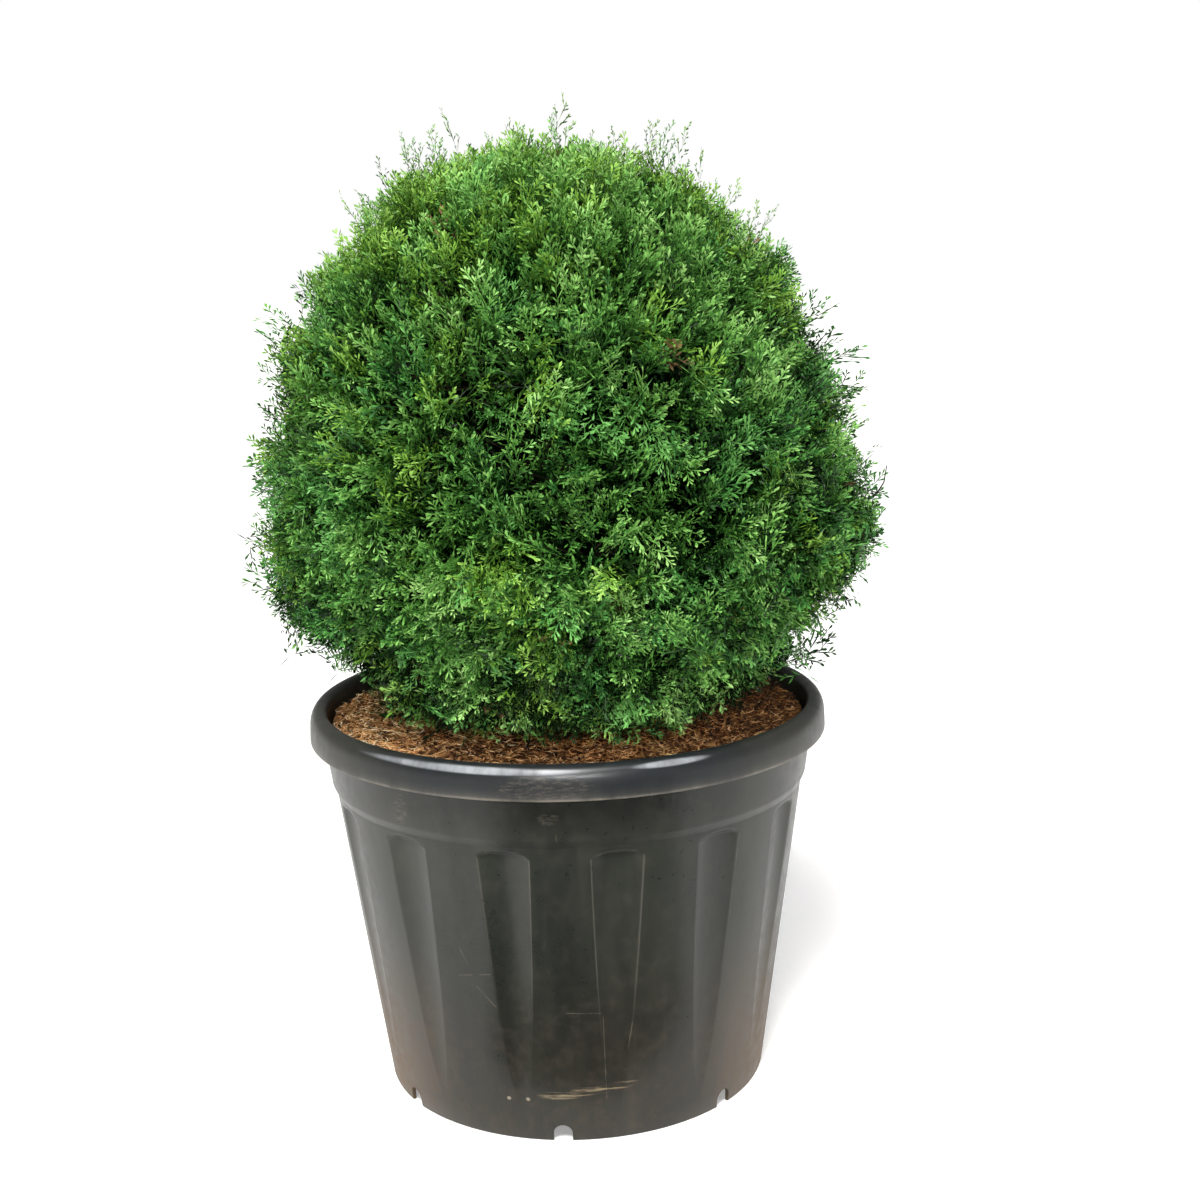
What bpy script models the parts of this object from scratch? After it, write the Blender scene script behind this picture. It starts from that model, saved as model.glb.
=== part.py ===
"""Potted eastern arborvitae: a dense, clipped globe in a fluted black nursery pot.

Metres, +Z up. The origin is the middle of the pot's flat underside, and -Y is the front.
"""

import math
import random

import bmesh
import bpy
from mathutils import Matrix, Vector

# Pot: radii and heights of its turned section
POT_HEIGHT = 0.450
RIM_RADIUS = 0.300
RIM_LIP_Z = 0.4135
RIM_INNER_RADIUS = 0.279
RIM_BEND_DROP = 0.009
RIM_ROUNDING = ((0.006, 0.0010), (0.0135, 0.0))
RIM_EDGE_DROP = 0.0065
RIM_EDGE_INSET = 0.0014
BASE_RADIUS = 0.224
WALL_SLOPE = 0.1370
WALL_THICKNESS = 0.004
BAND_Z = 0.364
BAND_STEP = 0.0095
BAND_PROUD = 0.0035
CHANNEL_HEIGHT = 0.022
FOOT_RADIUS = 0.130
FOOT_FLARE = 0.014
FLOOR_INSET = 0.003
CHANNEL_INSET = 0.002

# Flutes: tapered scoops pressed into the wall, with two columns on each scoop's curve
FLUTES = 14
FLUTE_PHASE = -15.6
FLUTE_TOP_Z = 0.345
FLUTE_FOOT_Z = 0.040
FLUTE_TOP_WIDTH = 0.058
FLUTE_TAPER = 0.45
FLUTE_DEPTH = 0.007
FLUTE_LEAST_HALF = 0.004
SCOOP_COLUMN = 0.45
COLUMNS_PER_FLUTE = 5
WALL_ROWS = (0.045, 0.130, FLUTE_TOP_Z)

# Drainage notches in the pot's foot
NOTCHES = 7
NOTCH_PHASE = -4.8
NOTCH_WIDTH = 0.021
NOTCH_HEIGHT = 0.0195
NOTCH_CUT_FROM = 0.200
NOTCH_CUT_REACH = 0.045
NOTCH_ARC_STEPS = 6

# Growing medium and its mulch
GAP = 0.0003
SOIL_TOP = 0.404
SOIL_INSET = 0.0016
SOIL_FOOT_Z = 0.028
SOIL_FOOT_INSET = 0.004
MULCH_EDGE_Z = 0.419
MULCH_CROWN_Z = 0.426
MULCH_EDGE_INSET = 0.0035
MULCH_SHOULDER = 0.02
MULCH_SHOULDER_RISE = 0.002
SOIL_COLUMNS = 42

# Trunk and boughs
TRUNK_RADIUS = 0.022
TRUNK_TIP_RADIUS = 0.009
TRUNK_TIP_Z = 0.926
TRUNK_SWAY = 0.006
FLARE = 0.6
FLARE_HEIGHT = 0.05
BOUGH_ROOT_RADIUS = 0.011
BOUGH_TIP_RADIUS = 0.006
FLARE_ROWS = (0.0, 0.008, 0.022, 0.050)
TRUNK_ROWS = 7

# Boughs, one to a mass: the first one's azimuth, heights of the roots, and reach and height of the tips
LOWER_AZIMUTH = 8
LOWER_BOUGH_Z = 0.464
LOWER_BOUGH_STEP = 0.011
LOWER_BOUGH_REACH = 0.128
LOWER_TIP_Z = 0.560
LOWER_TIP_STEP = 0.014
UPPER_AZIMUTH = -22
UPPER_BOUGH_Z = 0.640
UPPER_BOUGH_STEP = 0.021
UPPER_BOUGH_REACH = 0.098
UPPER_TIP_Z = 0.775
UPPER_TIP_STEP = 0.012
BOUGH_KNEE = 0.55
BOUGH_SAG = 0.10
BOUGH_DROP = 0.006

# Crown: a globe, widest at CROWN_WIDEST_Z
CROWN_RADIUS = 0.342
CROWN_WIDEST_Z = 0.655
CROWN_TOP_Z = 1.078
CROWN_BOTTOM_Z = 0.442
UPPER_POWER = 2.25
LOWER_POWER = 1.5
LOWER_REACH = 0.407
HEM_Z = 0.478
LEAN = -0.04
LEAN_FROM_Z = 0.74
TWO_WAVE_BUMP = 0.010
FIVE_WAVE_BUMP = 0.006
CORE_SHARE = 0.92

# Broad, low swellings and hollows of the clipped face: azimuth, height, how far out, reach in height
BULGE_WIDTH = 40.0
BULGES = (
    (-90, 0.990, -0.036, 0.045), (-90, 0.905, -0.030, 0.032), (-90, 0.790, -0.016, 0.045),
    (-90, 0.575, 0.014, 0.026), (-90, 0.492, -0.056, 0.028), (90, 1.005, -0.014, 0.032),
    (90, 0.885, -0.026, 0.040), (90, 0.680, 0.014, 0.055), (88, 0.532, -0.048, 0.045),
    (60, 0.475, -0.046, 0.032), (180, 0.930, -0.014, 0.050), (170, 0.620, 0.014, 0.060),
    (135, 0.800, 0.012, 0.050), (-140, 0.700, -0.012, 0.050),
)

# Masses of foliage
LOWER_MASSES = 7
UPPER_MASSES = 5
TIER_Z = 0.700
TOP_RING_RADIUS = 0.238
TOP_RING_Z = 0.950
TOP_RING_SLOPE = 50.0
LOWER_CORE_INSIDE = 0.150
UPPER_CORE_INSIDE = 0.120
TOP_CORE_Z = 0.934
CELL_MARGIN = 0.0006
SPRAYS = 172
SPRAY_LENGTH = 0.098
SPRAY_WIDTH = 0.062
SPRAY_THICKNESS = 0.0030
SPRAY_ROOT_SHARE = 0.84
SPRAY_ATTEMPTS = 16
SHOOT_ATTEMPTS = 6
STEM = 0.075
TOP_STEM = 0.045
TWIG_RADIUS = 0.0030
TWIGS_PER_MASS = 6
SEED = 11
WELD = 0.000002
CLOSE = 0.00002
MASS_ATTEMPTS = 12

# Draws passed over, by mass, because their sprays seal a hollow
DRAWS_PASSED = {"foliage_upper_2": 1}

# Shoots that stand out of the clipped face: azimuth, height of the tip, distance of the tip from the axis
SHOOTS = (
    (-90, 1.118, 0.114), (-84, 1.093, 0.161), (-97, 1.067, 0.194), (60, 1.122, 0.030),
    (88, 1.100, 0.127), (97, 1.098, 0.150), (92, 1.003, 0.242), (90, 0.885, 0.306),
    (86, 0.845, 0.334), (95, 0.673, 0.373), (84, 0.636, 0.364), (90, 0.504, 0.304),
    (-90, 0.902, 0.316), (-92, 0.751, 0.344), (-88, 0.607, 0.350), (-160, 1.098, 0.110),
    (165, 1.090, 0.150), (150, 0.900, 0.318), (-140, 0.860, 0.328), (180, 0.720, 0.366),
    (-150, 0.620, 0.356), (130, 0.590, 0.356), (0, 1.090, 0.120), (-30, 0.820, 0.332),
)
TOP_SHOOT_Z = 1.03
LOW_SHOOT_Z = 0.75
TOP_SHOOT_REACH = 0.10

POT_BLACK = (0.045, 0.048, 0.046, 1.0)
SOIL_BROWN = (0.060, 0.035, 0.022, 1.0)
MULCH_BROWN = (0.260, 0.120, 0.050, 1.0)
BARK_BROWN = (0.160, 0.100, 0.065, 1.0)
LEAF_GREEN = (0.070, 0.210, 0.045, 1.0)


def clear_scene():
    for obj in list(bpy.data.objects):
        bpy.data.objects.remove(obj, do_unlink=True)


def new_collection(name):
    collection = bpy.data.collections.new(name)
    bpy.context.scene.collection.children.link(collection)
    return collection


def principled(name, color, roughness):
    material = bpy.data.materials.new(name)
    material.use_nodes = True
    shader = material.node_tree.nodes["Principled BSDF"]
    shader.inputs["Base Color"].default_value = color
    shader.inputs["Roughness"].default_value = roughness
    return material


def add_object(name, mesh, collection, material=None):
    obj = bpy.data.objects.new(name, mesh)
    collection.objects.link(obj)
    if material:
        mesh.materials.clear()
        mesh.materials.append(material)
    return obj


def mesh_from_bmesh(name, bm):
    bmesh.ops.recalc_face_normals(bm, faces=bm.faces)
    mesh = bpy.data.meshes.new(name)
    bm.to_mesh(mesh)
    bm.free()
    return mesh


def evaluated_mesh(obj, weld):
    """The object's mesh with its modifiers applied, in world space, and with its caps welded if asked."""
    bpy.context.view_layer.update()
    graph = bpy.context.evaluated_depsgraph_get()
    mesh = bpy.data.meshes.new_from_object(obj.evaluated_get(graph))
    mesh.transform(obj.matrix_world)
    if not weld:
        return mesh
    bm = bmesh.new()
    bm.from_mesh(mesh)
    bmesh.ops.remove_doubles(bm, verts=bm.verts, dist=0.00001)
    bmesh.ops.recalc_face_normals(bm, faces=bm.faces)
    bm.to_mesh(mesh)
    bm.free()
    return mesh


def replace_by_mesh(obj, collection, material=None, weld=True):
    """Takes the object's place with a plain mesh of the same name."""
    name = obj.name
    mesh = evaluated_mesh(obj, weld)
    bpy.data.objects.remove(obj, do_unlink=True)
    mesh.name = name
    return add_object(name, mesh, collection, material)


def as_cutter(obj):
    obj.hide_render = True
    obj.display_type = "WIRE"


def add_boolean(obj, operation, solver="EXACT", other=None, collection=None):
    modifier = obj.modifiers.new(operation.lower(), "BOOLEAN")
    modifier.operation = operation
    modifier.solver = solver
    if collection:
        modifier.operand_type = "COLLECTION"
        modifier.collection = collection
    else:
        modifier.object = other
    return modifier


def turned(name, profile, steps, collection):
    """A profile of (radius, height) points from axis to axis, down its outer side, turned about Z."""
    mesh = bpy.data.meshes.new(name)
    edges = [(i, i + 1) for i in range(len(profile) - 1)]
    mesh.from_pydata([(r, 0, z) for r, z in profile], edges, [])
    obj = add_object(name, mesh, collection)
    screw = obj.modifiers.new("screw", "SCREW")
    screw.steps = screw.render_steps = steps
    screw.use_merge_vertices = True
    screw.merge_threshold = 0.0001
    return obj


def front_angle(degrees):
    """The angle about +Z, in radians, of an azimuth counted from the front towards +X."""
    return math.radians(degrees - 90)


def wall_radius(z):
    return BASE_RADIUS + WALL_SLOPE * z


def flute_share(z):
    """How far up its length a flute is at a height, from 0 at its foot to 1 at its top."""
    if z < FLUTE_FOOT_Z or z > FLUTE_TOP_Z + 0.0001:
        return 0.0
    return (z - FLUTE_FOOT_Z) / (FLUTE_TOP_Z - FLUTE_FOOT_Z)


def press_flutes(mesh):
    """Moves the wall's columns to the flutes' edges and hollows, and the hollows inwards."""
    pitch = 2 * math.pi / FLUTES
    column = pitch / COLUMNS_PER_FLUTE
    for vertex in mesh.vertices:
        x, y, z = vertex.co
        radius = math.hypot(x, y)
        share = flute_share(z)
        if share == 0.0 or radius < BASE_RADIUS - 2 * WALL_THICKNESS:
            continue
        half_width = max(FLUTE_TOP_WIDTH * share**FLUTE_TAPER / 2, FLUTE_LEAST_HALF)
        angle = math.atan2(y, x)
        place = round(angle / column)
        step = place % COLUMNS_PER_FLUTE
        middle = (place - step) * column + pitch / 2
        reach = {0: -pitch / 2, 1: -half_width / radius, 2: -SCOOP_COLUMN * half_width / radius}
        reach[3] = -reach[2]
        reach[4] = -reach[1]
        depth = FLUTE_DEPTH * share * (1 - SCOOP_COLUMN**2) if step in (2, 3) else 0.0
        angle = middle + reach[step]
        vertex.co.x = (radius - depth) * math.cos(angle)
        vertex.co.y = (radius - depth) * math.sin(angle)


def pot_profile():
    """The pot's section: floor, inside, rim, outside, foot ring, channel and middle foot."""
    inner = WALL_THICKNESS
    floor_top = CHANNEL_HEIGHT + inner
    band_top = wall_radius(RIM_LIP_Z) + BAND_PROUD
    foot_inside = FOOT_RADIUS - FLOOR_INSET
    inside = [(0, inner), (foot_inside, inner), (foot_inside + FOOT_FLARE, floor_top)]
    inside += [(wall_radius(z) - inner, z) for z in (floor_top, *WALL_ROWS)]
    inside += [(wall_radius(BAND_Z) + BAND_PROUD - inner, BAND_Z)]
    inside += [(RIM_INNER_RADIUS, POT_HEIGHT - RIM_BEND_DROP)]
    rim = [(RIM_INNER_RADIUS + out, POT_HEIGHT - drop) for out, drop in RIM_ROUNDING]
    rim += [(RIM_RADIUS - RIM_EDGE_INSET, POT_HEIGHT - RIM_EDGE_DROP), (RIM_RADIUS, RIM_LIP_Z)]
    band = [(band_top, RIM_LIP_Z), (wall_radius(BAND_Z) + BAND_PROUD, BAND_Z)]
    wall = [(wall_radius(BAND_Z - BAND_STEP), BAND_Z - BAND_STEP)]
    wall += [(wall_radius(z), z) for z in reversed(WALL_ROWS)]
    foot = [
        (BASE_RADIUS, 0),
        (BASE_RADIUS - inner, 0),
        (wall_radius(CHANNEL_HEIGHT) - inner - CHANNEL_INSET, CHANNEL_HEIGHT),
        (FOOT_RADIUS + FOOT_FLARE, CHANNEL_HEIGHT),
        (FOOT_RADIUS, 0),
        (0, 0),
    ]
    return inside + rim + band + wall + foot


def add_notch_cutters(cutters):
    """Arch-topped slots, one object each, that pass through the wall above its foot."""
    made = []
    for i in range(NOTCHES):
        bm = bmesh.new()
        arc_radius = NOTCH_WIDTH / 2
        spring = NOTCH_HEIGHT - arc_radius
        outline = [(-arc_radius, -0.01), (arc_radius, -0.01)]
        for step in range(NOTCH_ARC_STEPS + 1):
            turn = math.pi * step / NOTCH_ARC_STEPS
            outline.append((arc_radius * math.cos(turn), spring + arc_radius * math.sin(turn)))
        face = bm.faces.new([bm.verts.new((NOTCH_CUT_FROM, y, z)) for y, z in outline])
        extruded = bmesh.ops.extrude_face_region(bm, geom=[face])
        moved = [v for v in extruded["geom"] if isinstance(v, bmesh.types.BMVert)]
        bmesh.ops.translate(bm, verts=moved, vec=(NOTCH_CUT_REACH, 0, 0))
        cutter = add_object(f"notch_cutter_{i + 1}", mesh_from_bmesh("notch", bm), cutters)
        cutter.rotation_euler.z = front_angle(NOTCH_PHASE + i * 360 / NOTCHES)
        as_cutter(cutter)
        made.append(cutter)
    return made


def build_pot(parts, cutters):
    pot = turned("pot", pot_profile(), FLUTES * COLUMNS_PER_FLUTE, parts)
    plastic = principled("pot_plastic", POT_BLACK, 0.42)
    pot = replace_by_mesh(pot, parts, plastic)
    press_flutes(pot.data)
    half_pitch = 180 / FLUTES
    pot.data.transform(Matrix.Rotation(front_angle(FLUTE_PHASE - half_pitch), 4, "Z"))
    for cutter in add_notch_cutters(cutters):
        add_boolean(pot, "DIFFERENCE", other=cutter)
    pot.data.shade_smooth()
    pot.data.set_sharp_from_angle(angle=math.radians(35))
    return pot


def build_soil(parts):
    """The root ball and potting mix, which fill the pot as far in as the flutes' floors."""
    floor = WALL_THICKNESS + GAP
    foot = FOOT_RADIUS - SOIL_FOOT_INSET

    def side(z):
        return wall_radius(z) - floor - FLUTE_DEPTH * flute_share(z) - SOIL_INSET

    profile = [(0, SOIL_TOP), (side(FLUTE_TOP_Z), SOIL_TOP)]
    profile += [(side(z), z) for z in reversed(WALL_ROWS)]
    profile += [(side(SOIL_FOOT_Z), CHANNEL_HEIGHT + floor), (foot + FOOT_FLARE, CHANNEL_HEIGHT + floor)]
    profile += [(foot, floor), (0, floor)]
    soil = turned("soil", profile, SOIL_COLUMNS, parts)
    return replace_by_mesh(soil, parts, principled("potting_mix", SOIL_BROWN, 0.95))


def build_mulch(parts, hole):
    """A ring of shredded bark on the soil, round the trunk's foot."""
    edge = wall_radius(SOIL_TOP) + BAND_PROUD - WALL_THICKNESS - MULCH_EDGE_INSET
    low = SOIL_TOP + GAP
    middle = (hole + edge) / 2
    profile = [(hole, MULCH_CROWN_Z), (middle, MULCH_CROWN_Z)]
    profile += [(edge - MULCH_SHOULDER, MULCH_EDGE_Z + MULCH_SHOULDER_RISE)]
    profile += [(edge, MULCH_EDGE_Z), (edge, low), (hole, low), (hole, MULCH_CROWN_Z)]
    mulch = turned("mulch", profile, SOIL_COLUMNS, parts)
    return replace_by_mesh(mulch, parts, principled("bark_mulch", MULCH_BROWN, 0.9))


def limb(name, points, radii, sides, collection):
    """A tapering tube along points, made a mesh with its caps welded. sides is 4, 6, 8 and so on."""
    curve = bpy.data.curves.new(name, "CURVE")
    curve.dimensions = "3D"
    curve.bevel_depth = 1.0
    curve.bevel_resolution = (sides - 4) // 2
    curve.use_fill_caps = True
    spline = curve.splines.new("POLY")
    spline.points.add(len(points) - 1)
    for point, place, radius in zip(spline.points, points, radii):
        point.co = (*place, 1)
        point.radius = radius
    obj = bpy.data.objects.new(name, curve)
    collection.objects.link(obj)
    return replace_by_mesh(obj, collection)


def trunk_place(z):
    """The trunk's centre line: plumb at its foot, with a slight sway above."""
    rise = (z - SOIL_TOP) / (TRUNK_TIP_Z - SOIL_TOP)
    sway = TRUNK_SWAY * math.sin(math.pi * 1.6 * rise) * rise
    return Vector((sway, -0.6 * sway, z))


def trunk_radius(z):
    rise = (z - SOIL_TOP) / (TRUNK_TIP_Z - SOIL_TOP)
    foot = max(0.0, 1 - (z - SOIL_TOP) / FLARE_HEIGHT)
    return (TRUNK_RADIUS + (TRUNK_TIP_RADIUS - TRUNK_RADIUS) * rise) * (1 + FLARE * foot**2)


def trunk_limb(name, swell, collection):
    low = SOIL_TOP + GAP
    heights = [low + rise for rise in FLARE_ROWS]
    top_row = heights[-1]
    heights += [top_row + (TRUNK_TIP_Z - top_row) * i / TRUNK_ROWS for i in range(1, TRUNK_ROWS + 1)]
    points = [trunk_place(z) for z in heights]
    points[0] = Vector((0, 0, heights[0]))
    points[1] = Vector((0, 0, heights[1]))
    return limb(name, points, [trunk_radius(z) + swell for z in heights], 10, collection)


def azimuth_vector(degrees):
    angle = front_angle(degrees)
    return Vector((math.cos(angle), math.sin(angle), 0))


def bough_line(azimuth, root_z, tip_radius, tip_z):
    """Points of a bough that leaves the trunk's centre line outwards and bends up to its tip."""
    root = trunk_place(root_z)
    outward = azimuth_vector(azimuth)
    tip = outward * tip_radius + Vector((0, 0, tip_z))
    sag = Vector((0, 0, BOUGH_SAG * (tip_z - root_z) + BOUGH_DROP))
    knee = root.lerp(tip, BOUGH_KNEE) - sag
    bend = knee.lerp(tip, BOUGH_KNEE) - Vector((0, 0, BOUGH_DROP / 3))
    return [root, root.lerp(knee, 1 - BOUGH_KNEE), knee, bend, tip]


def crown_radius(z):
    """The clipped face's distance from the crown's own axis at a height."""
    if z >= CROWN_WIDEST_Z:
        share = (z - CROWN_WIDEST_Z) / (CROWN_TOP_Z - CROWN_WIDEST_Z)
        return CROWN_RADIUS * max(0.0, 1 - share**UPPER_POWER) ** (1 / UPPER_POWER)
    share = (CROWN_WIDEST_Z - z) / LOWER_REACH
    radius = CROWN_RADIUS * (1 - share**LOWER_POWER) ** (1 / LOWER_POWER)
    if z < HEM_Z:
        hem = (HEM_Z - z) / (HEM_Z - CROWN_BOTTOM_Z)
        radius *= math.sqrt(max(0.0, 1 - hem**2))
    return radius


def crown_height(level):
    """The height for a level from -1 at the crown's bottom to 1 at its top."""
    reach = CROWN_TOP_Z - CROWN_WIDEST_Z if level > 0 else CROWN_WIDEST_Z - CROWN_BOTTOM_Z
    return CROWN_WIDEST_Z + reach * level


def crown_point(azimuth, z):
    """A point on the clipped face, with its slow bumps and the crown's slight lean."""
    bump = TWO_WAVE_BUMP * math.sin(math.radians(2 * azimuth + 40)) * math.sin((z - 0.4) * 9)
    bump += FIVE_WAVE_BUMP * math.sin(math.radians(5 * azimuth) + z * 14)
    for middle, height, out, reach in BULGES:
        turn = (azimuth - middle + 180) % 360 - 180
        bump += out * math.exp(-((turn / BULGE_WIDTH) ** 2) - ((z - height) / reach) ** 2)
    radius = crown_radius(z)
    radius += bump * min(1.0, radius / 0.2)
    lean = LEAN * (z - LEAN_FROM_Z)
    return azimuth_vector(azimuth) * radius + Vector((lean, 0, z))


def crown_normal(azimuth, z):
    across = crown_point(azimuth + 2, z) - crown_point(azimuth - 2, z)
    step = 0.006
    low = max(z - step, CROWN_BOTTOM_Z + 0.001)
    high = min(z + step, CROWN_TOP_Z - 0.001)
    along = crown_point(azimuth, high) - crown_point(azimuth, low)
    return across.cross(along).normalized()


def lattice(count):
    """Seeded places spread evenly over the clipped face, as (azimuth, height)."""
    draw = random.Random(SEED)
    golden = 180 * (3 - math.sqrt(5))
    places = []
    for i in range(count):
        level = 1 - 2 * (i + 0.5) / count
        level = max(-0.96, min(0.985, level + draw.uniform(-0.5, 0.5) / count))
        azimuth = (i * golden + draw.uniform(-3, 3)) % 360 - 180
        places.append((azimuth, crown_height(level)))
    return places


class Mass:
    """One mass of foliage: the convex space it keeps to, its stem and its sprays."""

    def __init__(self, name, azimuth, walls, bough, core_walls=()):
        self.name = name
        self.azimuth = azimuth
        self.walls = walls
        self.core_walls = list(core_walls)
        self.bough = bough

    def holds(self, point, margin=0.0):
        return all((point - place).dot(inward) >= margin for place, inward in self.walls)


def sector_walls(azimuth, half):
    left = azimuth_vector(azimuth - half + 90)
    right = azimuth_vector(azimuth + half - 90)
    axis = Vector((0, 0, 0))
    return [(axis, left), (axis, right)]


def ring_wall(azimuth):
    """The sloped wall between an upper mass and the top one, with its inward side below."""
    outward = azimuth_vector(azimuth)
    slope = math.radians(TOP_RING_SLOPE)
    place = outward * TOP_RING_RADIUS + Vector((0, 0, TOP_RING_Z))
    below = outward * math.sin(slope) - Vector((0, 0, math.cos(slope)))
    return place, below


def make_masses():
    up = Vector((0, 0, 1))
    masses = []
    for i in range(LOWER_MASSES):
        azimuth = LOWER_AZIMUTH + i * 360 / LOWER_MASSES
        walls = sector_walls(azimuth, 180 / LOWER_MASSES)
        walls.append((up * TIER_Z, -up))
        core_walls = [(azimuth_vector(azimuth) * LOWER_CORE_INSIDE, azimuth_vector(azimuth))]
        root_z = LOWER_BOUGH_Z + LOWER_BOUGH_STEP * (i * 3 % LOWER_MASSES)
        bough = (azimuth, root_z, LOWER_BOUGH_REACH, LOWER_TIP_Z + LOWER_TIP_STEP * (i % 2))
        masses.append(Mass(f"foliage_lower_{i + 1}", azimuth, walls, bough, core_walls))
    for i in range(UPPER_MASSES):
        azimuth = UPPER_AZIMUTH + i * 360 / UPPER_MASSES
        walls = sector_walls(azimuth, 180 / UPPER_MASSES)
        walls += [(up * TIER_Z, up), ring_wall(azimuth)]
        core_walls = [(azimuth_vector(azimuth) * UPPER_CORE_INSIDE, azimuth_vector(azimuth))]
        root_z = UPPER_BOUGH_Z + UPPER_BOUGH_STEP * (i * 2 % UPPER_MASSES)
        bough = (azimuth, root_z, UPPER_BOUGH_REACH, UPPER_TIP_Z + UPPER_TIP_STEP * (i % 2))
        masses.append(Mass(f"foliage_upper_{i + 1}", azimuth, walls, bough, core_walls))
    rings = [ring_wall(m.azimuth) for m in masses[LOWER_MASSES:]]
    walls = [(place, -below) for place, below in rings]
    masses.append(Mass("foliage_top", 0, walls, None, [(up * TOP_CORE_Z, up)]))
    return masses


def clear_of_pot(point):
    flat = math.hypot(point.x, point.y)
    if point.z < MULCH_CROWN_Z + 0.003:
        return False
    return point.z > POT_HEIGHT + 0.002 or flat < RIM_INNER_RADIUS - 0.006


def core_mesh(mass):
    """The crown's form drawn in under the sprays, cut by the mass's walls."""
    bm = bmesh.new()
    bmesh.ops.create_uvsphere(bm, u_segments=26, v_segments=15, radius=1)
    centre = Vector((0, 0, CROWN_WIDEST_Z))
    for vertex in bm.verts:
        azimuth = math.degrees(math.atan2(vertex.co.y, vertex.co.x)) + 90
        level = vertex.co.z / vertex.co.length
        place = crown_point(azimuth, crown_height(max(-0.999, min(0.999, level))))
        vertex.co = centre + (place - centre) * CORE_SHARE
    for place, inward in mass.walls + mass.core_walls:
        everything = bm.verts[:] + bm.edges[:] + bm.faces[:]
        kept = inward * CELL_MARGIN
        cut = bmesh.ops.bisect_plane(
            bm, geom=everything, plane_co=place + kept, plane_no=-inward, clear_outer=True
        )
        edges = [e for e in cut["geom_cut"] if isinstance(e, bmesh.types.BMEdge)]
        bmesh.ops.holes_fill(bm, edges=edges, sides=0)
    bmesh.ops.remove_doubles(bm, verts=bm.verts, dist=0.0005)
    bmesh.ops.triangulate(bm, faces=bm.faces)
    return mesh_from_bmesh(mass.name, bm)


def spray_outline(length, width):
    """A fan's toothed outline, as (along, across) points seen from its middle."""
    teeth = ((0.20, 0.26), (0.52, 0.46), (0.78, 0.42), (1.00, 0.08))
    notches = ((0.33, 0.17), (0.60, 0.25), (0.84, 0.20))
    side = [(0.0, 0.05)]
    for i, tooth in enumerate(teeth):
        side.append(tooth)
        if i < len(notches):
            side.append(notches[i])
    ring = side[:-1] + [(1.0, 0.0)] + [(along, -across) for along, across in reversed(side[:-1])]
    return [(along * length, across * width) for along, across in ring]


def spray_points(root, direction, face, length, width):
    """World points of a fan's outline and of its two middles, which are its thickness apart."""
    along = direction.normalized()
    across = along.cross(face).normalized()
    normal = across.cross(along).normalized()
    ring = [root + along * a + across * b for a, b in spray_outline(length, width)]
    middle = root + along * length * 0.42
    return ring, middle + normal * SPRAY_THICKNESS / 2, middle - normal * SPRAY_THICKNESS / 2


def spray_mesh(points):
    ring, upper, lower = points
    bm = bmesh.new()
    verts = [bm.verts.new(p) for p in ring]
    top, bottom = bm.verts.new(upper), bm.verts.new(lower)
    for i, vert in enumerate(verts):
        following = verts[(i + 1) % len(verts)]
        bm.faces.new((vert, following, top))
        bm.faces.new((following, vert, bottom))
    return mesh_from_bmesh("spray", bm)


def twig_mesh(start, end, start_radius, end_radius):
    """A straight, tapering, three-sided twig between two points."""
    bm = bmesh.new()
    bmesh.ops.create_cone(
        bm, cap_ends=True, segments=3, radius1=start_radius, radius2=end_radius, depth=(end - start).length
    )
    turn = (end - start).to_track_quat("Z", "Y").to_matrix().to_4x4()
    bm.transform(Matrix.Translation((start + end) / 2) @ turn)
    return mesh_from_bmesh("twig", bm)


def fitting_spray(mass, azimuth, z, draw, length, width):
    """A spray through the clipped face, turned about its axis until it keeps to its space."""
    normal = crown_normal(azimuth, z)
    face_point = crown_point(azimuth, z)
    rise = 0.55 * max(0.0, min(1.0, (z - 0.55) / 0.3)) - 0.25 * max(0.0, (0.6 - z) / 0.15)
    leaning = Vector((0, 0, rise)) + Vector([draw.uniform(-0.28, 0.28) for _ in range(3)])
    spin = draw.uniform(0, math.pi)
    for attempt in range(SPRAY_ATTEMPTS):
        share = attempt / (SPRAY_ATTEMPTS - 1)
        direction = (normal + leaning * max(0.0, 1 - 1.4 * share)).normalized()
        side = direction.orthogonal().normalized()
        face = Matrix.Rotation(spin + attempt * math.pi / 5, 3, direction) @ side
        root = face_point - direction * length * SPRAY_ROOT_SHARE
        points = spray_points(root, direction, face, length, width * (1 - 0.3 * share))
        corners = points[0] + [points[1], points[2]]
        if all(mass.holds(p, CELL_MARGIN) and clear_of_pot(p) for p in corners):
            return points
    return None


def shoot_points(mass, azimuth, tip_z, tip_distance):
    """A narrow spray whose tip stands out of the clipped face at a given place."""
    tip = azimuth_vector(azimuth) * tip_distance + Vector((0, 0, tip_z))
    foot_z = min(tip_z - 0.02, CROWN_TOP_Z - 0.03)
    if tip_z < LOW_SHOOT_Z:
        foot_z = tip_z - 0.01
    foot = crown_point(azimuth, foot_z)
    if tip_z >= TOP_SHOOT_Z:
        height = min(CROWN_TOP_Z, tip_z) - TOP_SHOOT_REACH
        foot = Vector((0.85 * tip.x, 0.85 * tip.y, height))
    else:
        foot.x, foot.y = 0.75 * foot.x, 0.75 * foot.y
    direction = tip - foot
    length = direction.length
    for attempt in range(SHOOT_ATTEMPTS):
        side = Matrix.Rotation(attempt * math.pi / 6, 3, direction.normalized())
        face = side @ direction.orthogonal().normalized()
        points = spray_points(foot, direction, face, length, SPRAY_WIDTH * (0.62 - 0.06 * attempt))
        if all(mass.holds(p, CELL_MARGIN) and clear_of_pot(p) for p in points[0]):
            return points
    return None


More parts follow.
